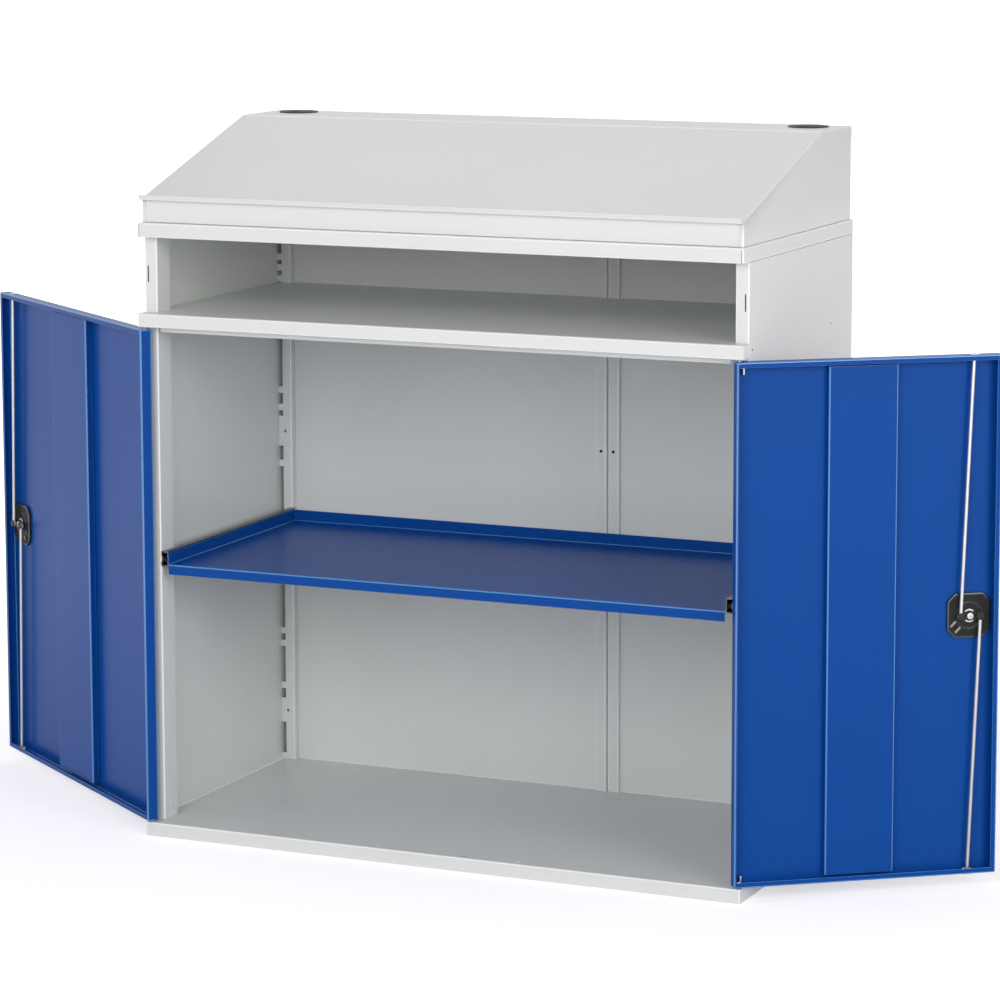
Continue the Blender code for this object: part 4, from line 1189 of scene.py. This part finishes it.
def make_hinge_pins(leaf):
    """Each pin is a round wire, bent twice inside the door, with rounded ends."""
    fittings = fitting_sizes()
    radius, bend = fittings.pin_radius, fittings.pin_bend
    inward = -X * leaf.side
    place = leaf.hinge.xy.to_3d()
    for end, up in (("top", 1), ("bottom", -1)):
        node = f"hinge_pin_{end}"
        low, high = leaf.closed_box(node)
        tip, leg = (high.z, low.z) if up > 0 else (low.z, high.z)
        crank = high.x - low.x - 2 * radius
        run = leaf.closed_box("door_panel")[up > 0].z - up * PIN_RUNS[end]
        pin = start(
            f"{leaf.name}_{end}_pin_wire", bpy.ops.mesh.primitive_circle_add,
            vertices=WIRE_STEPS, radius=radius, fill_type="NGON", location=place + Z * tip,
        )
        first_bend = place + inward * bend + Z * (run + up * bend)
        second_bend = place + inward * (crank - bend) + Z * (run - up * bend)
        turn = Y * leaf.side * up
        with Bench(pin) as bench:
            bench.pick("FACE")
            bench.extrude(Z * (run + up * bend - tip))
            bench.spin(math.pi / 2, first_bend, turn, BEND_STEPS)
            bench.extrude(inward * (crank - 2 * bend))
            bench.spin(-math.pi / 2, second_bend, turn, BEND_STEPS)
            bench.extrude(Z * (leg - run + up * bend))
            bench.merge()
            bench.turn_out()
        soften(pin, radius * PIN_ROUND)
        leaf.hang(pin, "door", "zinc_plate", node)


GUIDE_RISE = 0.0011  # of the guides' collar outside the door's edge
GUIDE_COLLAR = 0.0008  # width of the collar round the neck
GUIDE_PLAY = 0.0004  # more room in the guides' slots
GUIDE_REACH = 0.02  # of the slots' cutter, up and down
GUIDE_ROUNDING = 0.0004


def make_rod_guides(leaf):
    """Oblong nylon bushes: a body inside the door's edge, a neck through it and a thin collar outside."""
    fit = sheet_sizes().fit
    for end, up in (("top", 1), ("bottom", -1)):
        node = f"rod_guide_{end}"
        low, high = leaf.closed_box(node)
        centre = (low + high) / 2
        guide = oblong(f"{leaf.name}_{end}_rod_bush", centre, (high - low) / 2, Z)
        edge = leaf.closed_box("door_panel")[up > 0].z
        collar_foot, collar_top = edge + up * fit, edge + up * (fit + GUIDE_RISE)
        for name, foot, wider in (("neck", centre.z, 0), ("collar", collar_foot, GUIDE_COLLAR)):
            half = rod_slot_half(GUIDE_NECK - fit + wider) + Z * abs(collar_top - foot) / 2
            fuse(guide, oblong(name, (centre.x, centre.y, (foot + collar_top) / 2), half, Z))
        room = Vector((GUIDE_PLAY, GUIDE_PLAY / 2, GUIDE_REACH))
        cut(guide, oblong("slot", centre, rod_slot_half() + room, Z))
        soften(guide, GUIDE_ROUNDING)
        with Bench(guide) as bench:
            bench.pick("FACE")
            bpy.ops.mesh.quads_convert_to_tris()
        leaf.hang(guide, "door", "white_nylon", node)


# Locks. Depths are counted from the door's outer face, and places from the lock's axis on the closed door


CUP_BORDER = (0.0026, 0.0008)  # width and drop of the sloped border round the housings
CUP_CORNER = 0.0035
CUP_DISH = 0.0047  # floor of the dish that the handle turns in
CUP_BORE = 0.007
CUP_ROUNDING = 0.0004
CUT_START = 0.006  # cutters begin this far in front of the door
BEZEL_EDGE = 0.0009
NECK_END = 0.004
DISH_RIM = (0.0228, 0.0208, 0.0202)  # radius of the raised ring outside, and inside at its crest and foot
DISH_HEIGHT = 0.0007
BORDER_FACING = (0.5, 0.98)  # cosines between which a face belongs to a slope
BAR_PLACES = ((0.0275, -0.0135), (0.0195, -0.0235))  # towards the hinge, and up
BAR_HALF = Vector((0.0065, 0.0014, 0.0021))
BAR_ROUNDING = 0.0005


def octagon(name, low, high, chamfer):
    """An upright plate with cut-off corners, which are rounded in their turn."""
    plate = block(name, low, high)
    with Bench(plate) as bench:
        for offset, segments in ((chamfer, 1), (CUP_CORNER, FOLD_STEPS)):
            bench.pick("EDGE", lambda edge: along(edge, Y))
            bench.bevel(offset, segments)
    return plate


def make_lock_cup(leaf):
    """The housing has a plate inside the door, a neck through it and a bezel outside, round a dish."""
    sizes, fittings = sheet_sizes(), fitting_sizes()
    low, high = leaf.closed_box("lock_cup")
    axis = leaf.lock
    inside, outside = axis.y + sizes.sheet + sizes.fit, axis.y - sizes.fit
    border, drop = CUP_BORDER
    chamfer, recess = fittings.cup_chamfer, fittings.cup_recess
    ends = (low.x, inside, low.z), (high.x, high.y - drop, high.z)
    cup = octagon(f"{leaf.name}_lock_housing", *ends, chamfer)
    with Bench(cup) as bench:
        bench.pick("FACE", lambda face: face.normal.y > FACING)
        bpy.ops.mesh.inset(thickness=border)
        bpy.ops.transform.translate(value=Y * drop)
    bezel = octagon("bezel", low, (high.x, outside, high.z), chamfer)
    with Bench(bezel) as bench:
        bench.pick("EDGE", lambda edge: abs(middle(edge).y - low.y) < NEAR)
        bench.bevel(BEZEL_EDGE, EDGE_STEPS)
    neck_start = axis + Y * (outside - axis.y - OVERLAP)
    neck = bar("neck", recess + NECK_WALL, neck_start, axis + Y * NECK_END, SPIN_STEPS)
    rim, crest, foot = DISH_RIM
    profile = ((rim, -OVERLAP), (rim, DISH_HEIGHT), (crest, DISH_HEIGHT), (foot, -OVERLAP))
    fuse(cup, neck, bezel, turned("dish_rim", profile, (axis.x, high.y, axis.z), Y))
    begin = axis - Y * CUT_START
    handle_end = leaf.closed_box("lock_handle")[1].y - axis.y
    dish = bar("dish", recess, begin, axis + Y * CUP_DISH, SPIN_STEPS)
    cut(cup, dish, bar("bore", CUP_BORE, begin, axis + Y * handle_end))
    with Bench(cup) as bench:
        bench.mark_as_fold(lambda face: BORDER_FACING[0] < face.normal.y < BORDER_FACING[1])
    soften(cup, CUP_ROUNDING)
    leaf.hang(cup, "door", "black_plastic", "lock_cup")


def make_detent_bars(leaf):
    """Two short bars, set slantwise on the housing."""
    face = leaf.closed_box("lock_cup")[1].y
    turn = Matrix.Rotation(leaf.side * math.pi / 4, 4, "Y")
    bars = []
    for across, up in BAR_PLACES:
        bars.append(block(f"{leaf.name}_detent_bars", -BAR_HALF, BAR_HALF))
        place = Vector((leaf.lock.x + leaf.side * across, face, leaf.lock.z + up))
        bars[-1].matrix_world = Matrix.Translation(place) @ turn
    pair = join(bars)
    bpy.ops.object.transform_apply(location=True, rotation=True, scale=True)
    soften(pair, BAR_ROUNDING)
    leaf.hang(pair, "door", "slide_steel")


HANDLE_PLATE = (0.028, 0.002)  # radius and thickness
HANDLE_EDGE = 0.0008
GRIP = (0.025, 0.0075)  # half length and half width
GRIP_PROUD = 0.006
GRIP_CORNER = 0.006
GRIP_TAPER = (0.94, 1, 0.86)
GRIP_EDGE = 0.0015
SPINDLE = (0.0067, 0.0062)  # radius and end
DRIVE = 0.0047  # half the drive square's side
DRIVE_START = 0.005
KEY_POCKET = (0.0058, -0.012, -0.001)  # radius, begin and floor
THREAD = (0.0028, 0.0039, 0.012)  # radius, begin and end


def make_handle(leaf):
    """The swivel handle: a plate, a tapered grip with a key pocket, and a spindle with a square end."""
    axis = leaf.lock
    low, high = leaf.closed_box("lock_handle")
    radius, thickness = HANDLE_PLATE
    rear = CUP_DISH - sheet_sizes().fit
    front = rear - thickness
    profile = (
        (0, front), (0, rear), (radius, rear),
        (radius, front + HANDLE_EDGE), (radius - HANDLE_EDGE, front),
    )
    handle = turned(f"{leaf.name}_swivel_handle", profile, axis, Y)
    half_length, half_width = GRIP
    grip = block(
        "grip",
        axis + Vector((-half_length, -GRIP_PROUD, -half_width)),
        axis + Vector((half_length, rear - OVERLAP, half_width)),
    )
    with Bench(grip) as bench:
        bench.pick("EDGE", lambda edge: along(edge, Y))
        bench.bevel(GRIP_CORNER, CORNER_STEPS)
        bench.pick("FACE", lambda face: face.normal.y < -FACING)
        bpy.ops.transform.resize(value=GRIP_TAPER, center_override=axis)
        bench.pick("EDGE", lambda edge: all(abs(vert.co.y - low.y) < NEAR for vert in edge.verts))
        bench.bevel(GRIP_EDGE, EDGE_STEPS)
    spindle_radius, spindle_end = SPINDLE
    spindle = bar("spindle", spindle_radius, axis + Y * (rear - OVERLAP), axis + Y * spindle_end)
    drive_start = axis + Vector((-DRIVE, DRIVE_START, -DRIVE))
    drive = block("drive", drive_start, (axis.x + DRIVE, high.y, axis.z + DRIVE))
    fuse(handle, grip, spindle, drive)
    for name, (hole, begin, end), steps in (
        ("pocket", KEY_POCKET, ROUND_STEPS), ("thread", THREAD, WIRE_STEPS),
    ):
        cut(handle, bar(name, hole, axis + Y * begin, axis + Y * end, steps))
    edge_slots(handle)
    soften(handle)
    leaf.hang(handle, "lock", "black_plastic", "lock_handle")


CORE_EDGE = 0.0006
CORE_RIM = (0.0014, 0.0018)  # from the core's edge to the inside of its rim, at the crest and the foot
CORE_SINK = 0.0002  # depth of the face inside the rim
CORE_ROUNDING = 0.00012
KEYWAY_HALF = (0.0006, 0.0035)  # half width and half height
KEYWAY_FLOOR = 0.0012  # in front of the core's rear


def make_key_core(leaf):
    axis = leaf.lock
    low, high = leaf.closed_box("key_core")
    radius = (high.z - low.z) / 2
    front, rear = low.y - axis.y, high.y - axis.y
    crest, foot = CORE_RIM
    profile = (
        (0, front + CORE_SINK), (0, rear), (radius, rear), (radius, front + CORE_EDGE),
        (radius - CORE_EDGE, front), (radius - crest, front), (radius - foot, front + CORE_SINK),
    )
    core = turned(f"{leaf.name}_key_barrel", profile, axis, Y, ROUND_STEPS)
    across, up = KEYWAY_HALF
    cut(core, block(
        "keyway",
        axis + Vector((-across, front - OVERCUT, -up)),
        axis + Vector((across, rear - KEYWAY_FLOOR, up)),
    ))
    soften(core, CORE_ROUNDING)
    leaf.hang(core, "lock", "zinc_plate", "key_core")


CAM_THICKNESS = 0.002
CAM_HUB = 0.0085
LUG_RADIUS = 0.003
LUG_END = 0.0005  # of the lug's pin, below the top of its head
LUG_HEAD = (  # radius and height
    (0, 0), (0.0063, 0), (0.0063, 0.0009), (0.0058, 0.0014), (0.0045, 0.0015), (0, 0.0015),
)


def make_cam(leaf):
    """The two-armed cam: a hub, arms with round ends, and a headed lug on each arm."""
    x, _, z = leaf.lock
    low, high = leaf.closed_box("lock_cam")
    lugs = [leaf.closed_pivot(f"{end}_rod_pivot") for end in ("upper", "lower")]
    arm = fitting_sizes().cam_arm / 2
    front, waist, rear = low.y, low.y + CAM_THICKNESS / 2, low.y + CAM_THICKNESS
    half = (abs(lugs[0].x - x) + arm, CAM_THICKNESS / 2, arm)
    cam = oblong(f"{leaf.name}_cam_plate", (x, waist, z), half, Y)
    fuse(cam, bar("hub", CAM_HUB, (x, front, z), (x, rear, z), SPIN_STEPS))
    head = high.y - LUG_HEAD[-1][1]
    for lug in lugs:
        pin_end = (lug.x, high.y - LUG_END, lug.z)
        pin = bar("lug_pin", LUG_RADIUS, (lug.x, waist, lug.z), pin_end, ROD_STEPS)
        fuse(cam, pin, turned("lug_head", LUG_HEAD, (lug.x, head, lug.z), Y, ROUND_STEPS))
    hole = DRIVE + sheet_sizes().fit
    cut(cam, block(
        "drive_hole", (x - hole, front - OVERCUT, z - hole), (x + hole, rear + OVERCUT, z + hole)
    ))
    soften(cam)
    leaf.hang(cam, "lock", "dark_cam_steel", "lock_cam")


WASHER_BORE = 0.007
WASHER_EDGES = (0.0003, 0.0006)  # at the bore and outside
WASHER_ROUNDING = 0.00015


def make_washer(leaf):
    axis = leaf.lock
    low, high = leaf.closed_box("lock_washer")
    radius = (high.z - low.z) / 2
    near, far = low.y - axis.y, high.y - axis.y
    inner, outer = WASHER_EDGES
    profile = (
        (WASHER_BORE, near), (WASHER_BORE, far - inner), (WASHER_BORE + inner, far),
        (radius - outer, far), (radius, far - outer), (radius, near),
    )
    washer = turned(f"{leaf.name}_lock_ring", profile, axis, Y)
    soften(washer, WASHER_ROUNDING)
    leaf.hang(washer, "lock", "zinc_plate", "lock_washer")


SCREW_SHANK = 0.0025
SCREW_TIP = (0.0005, 0.0006)  # width and length of the chamfer at the tip
SCREW_HEAD = 0.003
SCREW_CROWN = 0.0016  # radius of the head's edge
SCREW_ARC = (20, 45, 70)  # degrees along the edge
SCREW_CROSS = (0.0028, 0.0014, 0.00055)  # half sizes of one slot of the cross
SCREW_ROUNDING = 0.00012


def make_screw(leaf):
    axis = leaf.lock
    low, high = leaf.closed_box("lock_screw")
    near, far = low.y - axis.y, high.y - axis.y
    seat, radius = far - SCREW_HEAD, (high.z - low.z) / 2
    width, taper = SCREW_TIP
    profile = [
        (0, near), (SCREW_SHANK - width, near), (SCREW_SHANK, near + taper), (SCREW_SHANK, seat),
        (radius, seat), (radius, far - SCREW_CROWN),
    ]
    for degrees in SCREW_ARC:
        turn = math.radians(degrees)
        out, up = SCREW_CROWN * math.cos(turn), SCREW_CROWN * math.sin(turn)
        profile.append((radius - SCREW_CROWN + out, far - SCREW_CROWN + up))
    profile.append((0, far))
    screw = turned(f"{leaf.name}_cam_screw", profile, axis, Y, ROUND_STEPS)
    place = axis + Y * far
    for half in (Vector(SCREW_CROSS), Vector(reversed(SCREW_CROSS))):
        cut(screw, block("drive_cross", place - half, place + half))
    soften(screw, SCREW_ROUNDING)
    leaf.hang(screw, "lock", "zinc_plate", "lock_screw")


ROD_EYE = (0.0033, 0.0055)  # inner and outer radius
EYE_EDGES = (0.0003, 0.0008)  # at the inner and outer radius
EYE_REACH = 0.01  # of the eyes' cutter, to both sides
TIP_EDGE = 0.0009
TIP_ROOM = 1.5  # edges this near the tip are at the tip, as a share of the rod's radius


def make_rods(leaf):
    """The locking rods: a round bar with a rounded tip, flattened into an eye round the cam's lug."""
    radius = fitting_sizes().rod_radius
    bore, rim = ROD_EYE
    bore_edge, rim_edge = EYE_EDGES
    upper_half = (
        (rim, radius - rim_edge), (rim - rim_edge, radius),
        (bore + bore_edge, radius), (bore, radius - bore_edge),
    )
    profile = [*((out, -height) for out, height in reversed(upper_half)), *upper_half]
    for end, up in (("upper", 1), ("lower", -1)):
        node = f"{end}_rod"
        low, high = leaf.closed_box(node)
        pivot = leaf.closed_pivot(f"{end}_rod_pivot")
        tip_z = high.z if up > 0 else low.z
        edge_z = leaf.closed_box("door_panel")[up > 0].z
        lean = (leaf.lock.x - pivot.x) / (edge_z - pivot.z)
        tip = Vector((pivot.x + lean * (tip_z - pivot.z), pivot.y, tip_z))
        rod = bar(f"{leaf.name}_{end}_bar", radius, pivot, tip, ROD_STEPS)
        near_tip = radius * TIP_ROOM
        with Bench(rod) as bench:
            bench.pick("EDGE", lambda edge: all((vert.co - tip).length < near_tip for vert in edge.verts))
            bench.bevel(TIP_EDGE, EDGE_STEPS)
        fuse(rod, turned("eye", profile, pivot, Y, ROUND_STEPS))
        cut(rod, bar("eye_bore", bore, pivot - Y * EYE_REACH, pivot + Y * EYE_REACH))
        alone(rod)
        bpy.ops.object.shade_smooth_by_angle(angle=SMOOTH_ANGLE)
        leaf.hang(rod, f"{end}_rod", "zinc_plate", node)


# Stage


CAMERA_PLACE = (2.6766, -5.938, 1.6982)
CAMERA_PITCH = math.radians(8.195)
CAMERA_YAW = math.radians(24.208)
CAMERA_ROLL = math.radians(-0.142)
CAMERA_SHIFT = -0.1
SENSOR_WIDTH = 36  # millimetres
FLOOR_SIDE = 60
FLOOR_GLOW = (0.46, 1.0)  # light that the floor adds where it is seen, near the object and far from it
FLOOR_FADE = (1.2, 3.0)  # distances from the middle between which it changes
FLOOR_DROP = 0.0005
FLOOR_ROUGHNESS = 0.9
FLOOR_SHINE = 0.1


def seen_directly(tree):
    """1 on rays from the camera and on reflected and refracted ones, and 0 on other light."""
    path = add_node(tree, "ShaderNodeLightPath")
    seen = path.outputs["Is Camera Ray"]
    for socket in ("Is Glossy Ray", "Is Transmission Ray"):
        links = {0: seen, 1: path.outputs[socket]}
        seen = add_node(tree, "ShaderNodeMath", links, operation="MAXIMUM").outputs["Value"]
    return seen


def make_sky(stage):
    world = bpy.data.worlds.new("studio")
    world.use_nodes = True
    tree = world.node_tree
    tree.nodes.clear()
    white = add_node(tree, "ShaderNodeBackground", {"Color": (1, 1, 1, 1), "Strength": 1.0})
    sky = add_node(tree, "ShaderNodeBackground", {"Color": (*stage.light, 1), "Strength": stage.sky})
    mix = add_node(tree, "ShaderNodeMixShader", {0: seen_directly(tree)})
    tree.links.new(sky.outputs[0], mix.inputs[1])
    tree.links.new(white.outputs[0], mix.inputs[2])
    result = add_node(tree, "ShaderNodeOutputWorld")
    tree.links.new(mix.outputs[0], result.inputs["Surface"])
    bpy.context.scene.world = world


def make_floor(stage):
    floor = start(
        "studio_floor", bpy.ops.mesh.primitive_plane_add, (FLOOR_SIDE, FLOOR_SIDE, 1),
        size=1, location=(0, 0, -FLOOR_DROP),
    )
    material = bpy.data.materials.new("pale_floor")
    material.use_nodes = True
    tree = material.node_tree
    shader = tree.nodes["Principled BSDF"]
    shader.inputs["Base Color"].default_value = (*stage.floor, 1)
    shader.inputs["Roughness"].default_value = FLOOR_ROUGHNESS
    shader.inputs["Specular IOR Level"].default_value = FLOOR_SHINE
    place = add_node(tree, "ShaderNodeTexCoord").outputs["Object"]
    distance = add_node(tree, "ShaderNodeVectorMath", {0: place}, operation="LENGTH").outputs["Value"]
    (near, far), (least, most) = FLOOR_FADE, FLOOR_GLOW
    links = {"Value": distance, "From Min": near, "From Max": far, "To Min": least, "To Max": most}
    glow = add_node(tree, "ShaderNodeMapRange", links).outputs["Result"]
    lift = add_node(tree, "ShaderNodeMath", {0: seen_directly(tree), 1: glow}, operation="MULTIPLY")
    tree.links.new(lift.outputs["Value"], shader.inputs["Emission Strength"])
    shader.inputs["Emission Color"].default_value = (1, 1, 1, 1)
    floor.data.materials.append(material)


LAMPS = (
    ("key_lamp", "key", (0.3, -7.0, 3.0)),
    ("fill_lamp", "fill", (5.6, -3.8, 2.3)),
    ("left_lamp", "left", (-5.0, -4.0, 2.3)),
    ("back_lamp", "back", (-2.5, 5.5, 5.0)),
)
LAMP_SIDE = 3.4
LAMP_AIM = Vector((0, 0, 0.6))


def make_lamps(stage):
    for name, strength, place in LAMPS:
        bpy.ops.object.select_all(action="DESELECT")
        turn = (LAMP_AIM - Vector(place)).to_track_quat("-Z", "Y").to_euler()
        bpy.ops.object.light_add(type="AREA", location=place, rotation=turn)
        lamp = bpy.context.object
        lamp.name = name
        lamp.data.energy = getattr(stage, strength)
        lamp.data.size = LAMP_SIDE
        lamp.data.color = stage.light


def make_camera(stage):
    bpy.ops.object.select_all(action="DESELECT")
    bpy.ops.object.camera_add(location=CAMERA_PLACE)
    camera = bpy.context.object
    camera.name = "studio_camera"
    aim = Matrix.Rotation(CAMERA_YAW, 3, "Z") @ Matrix.Rotation(math.pi / 2 - CAMERA_PITCH, 3, "X")
    camera.rotation_euler = (aim @ Matrix.Rotation(CAMERA_ROLL, 3, "Z")).to_euler()
    camera.data.lens = stage.lens
    camera.data.sensor_width = SENSOR_WIDTH
    camera.data.shift_y = CAMERA_SHIFT
    bpy.context.scene.camera = camera


# Operators


class PieceOperator:
    """What the operators share: they make their pieces and say that they are done."""

    bl_options = {"REGISTER", "UNDO"}

    def execute(self, context):
        self.make(context)
        return {"FINISHED"}


class CABINET_OT_base(PieceOperator, bpy.types.Operator):
    """Makes the base pan and the floor channels under it"""

    bl_idname = "cabinet.base"
    bl_label = "Base"

    def make(self, context):
        make_base()
        make_floor_channels()


class CABINET_OT_sides(PieceOperator, bpy.types.Operator):
    """Makes the two side sheets with their posts"""

    bl_idname = "cabinet.sides"
    bl_label = "Sides"

    def make(self, context):
        for name, side in SIDES:
            make_side(name, side)


class CABINET_OT_rear_wall(PieceOperator, bpy.types.Operator):
    """Makes the two rear sheets and the notched uprights in the corners"""

    bl_idname = "cabinet.rear_wall"
    bl_label = "Rear wall"

    def make(self, context):
        for name, side in SIDES:
            make_rear_panel(name, side)
            make_upright(name, side)


class CABINET_OT_fixed_shelf(PieceOperator, bpy.types.Operator):
    """Makes the fixed shelf with its lip and door stop"""

    bl_idname = "cabinet.fixed_shelf"
    bl_label = "Fixed shelf"

    def make(self, context):
        make_fixed_shelf()


class CABINET_OT_top_cover(PieceOperator, bpy.types.Operator):
    """Makes the top cover with its rim"""

    bl_idname = "cabinet.top_cover"
    bl_label = "Top cover"

    def make(self, context):
        make_top_cover()


class CABINET_OT_desk(PieceOperator, bpy.types.Operator):
    """Makes the desk's sides, front, back and top"""

    bl_idname = "cabinet.desk"
    bl_label = "Desk"

    def make(self, context):
        make_desk_top()
        make_desk_front_and_back()
        for name, side in SIDES:
            make_desk_side(name, side)


class CABINET_OT_outlets(PieceOperator, bpy.types.Operator):
    """Makes the cable outlets in the ledge"""

    bl_idname = "cabinet.outlets"
    bl_label = "Cable outlets"

    def make(self, context):
        for name, _ in SIDES:
            make_outlet_ring(name)
            make_outlet_cap(name)


class CABINET_OT_pull_out_shelf(PieceOperator, bpy.types.Operator):
    """Makes the pull-out shelf's tray, rails and runners"""

    bl_idname = "cabinet.pull_out_shelf"
    bl_label = "Pull-out shelf"

    def make(self, context):
        make_shelf_tray()
        make_slides()


class CABINET_OT_doors(PieceOperator, bpy.types.Operator):
    """Makes the door pans and their stiffening ribs"""

    bl_idname = "cabinet.doors"
    bl_label = "Doors"

    def make(self, context):
        for leaf in LEAVES:
            make_door_pan(leaf)
            make_stiffener(leaf)


class CABINET_OT_hinge_pins(PieceOperator, bpy.types.Operator):
    """Makes the bent wire hinge pins"""

    bl_idname = "cabinet.hinge_pins"
    bl_label = "Hinge pins"

    def make(self, context):
        for leaf in LEAVES:
            make_hinge_pins(leaf)


class CABINET_OT_locks(PieceOperator, bpy.types.Operator):
    """Makes the locks: housing, bars, handle, key barrel, cam, ring and screw"""

    bl_idname = "cabinet.locks"
    bl_label = "Locks"

    def make(self, context):
        for leaf in LEAVES:
            make_lock_cup(leaf)
            make_detent_bars(leaf)
            make_handle(leaf)
            make_key_core(leaf)
            make_cam(leaf)
            make_washer(leaf)
            make_screw(leaf)


class CABINET_OT_rods(PieceOperator, bpy.types.Operator):
    """Makes the locking rods and their nylon bushes"""

    bl_idname = "cabinet.rods"
    bl_label = "Locking rods"

    def make(self, context):
        for leaf in LEAVES:
            make_rods(leaf)
            make_rod_guides(leaf)


class CABINET_OT_stage(PieceOperator, bpy.types.Operator):
    """Makes the floor, the light and the camera"""

    bl_idname = "cabinet.stage"
    bl_label = "Stage"

    def make(self, context):
        stage = context.scene.cabinet_stage
        context.scene.view_settings.view_transform = "Standard"
        make_sky(stage)
        make_floor(stage)
        make_lamps(stage)
        make_camera(stage)


OPERATORS = (
    CABINET_OT_base, CABINET_OT_sides, CABINET_OT_rear_wall, CABINET_OT_fixed_shelf, CABINET_OT_top_cover,
    CABINET_OT_desk, CABINET_OT_outlets, CABINET_OT_pull_out_shelf, CABINET_OT_doors, CABINET_OT_hinge_pins,
    CABINET_OT_locks, CABINET_OT_rods, CABINET_OT_stage,
)


class CABINET_PT_pieces(bpy.types.Panel):
    """Lists the operators that make the cabinet"""

    bl_label = "Desk cabinet"
    bl_space_type = "VIEW_3D"
    bl_region_type = "UI"
    bl_category = "Cabinet"

    def draw(self, context):
        for operator in OPERATORS:
            self.layout.operator(operator.bl_idname)


GROUPS = {
    "cabinet_sheet": CabinetSheet,
    "cabinet_fittings": CabinetFittings,
    "cabinet_finish": CabinetFinish,
    "cabinet_stage": CabinetStage,
}
CLASSES = (*GROUPS.values(), *OPERATORS, CABINET_PT_pieces)


def register():
    for item in CLASSES:
        bpy.utils.register_class(item)
    for name, group in GROUPS.items():
        setattr(bpy.types.Scene, name, PointerProperty(type=group))


def unregister():
    for name in GROUPS:
        delattr(bpy.types.Scene, name)
    for item in reversed(CLASSES):
        bpy.utils.unregister_class(item)


def main():
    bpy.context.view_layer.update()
    register()
    for operator in OPERATORS:
        area, name = operator.bl_idname.split(".")
        getattr(getattr(bpy.ops, area), name)()


if __name__ == "__main__":
    main()
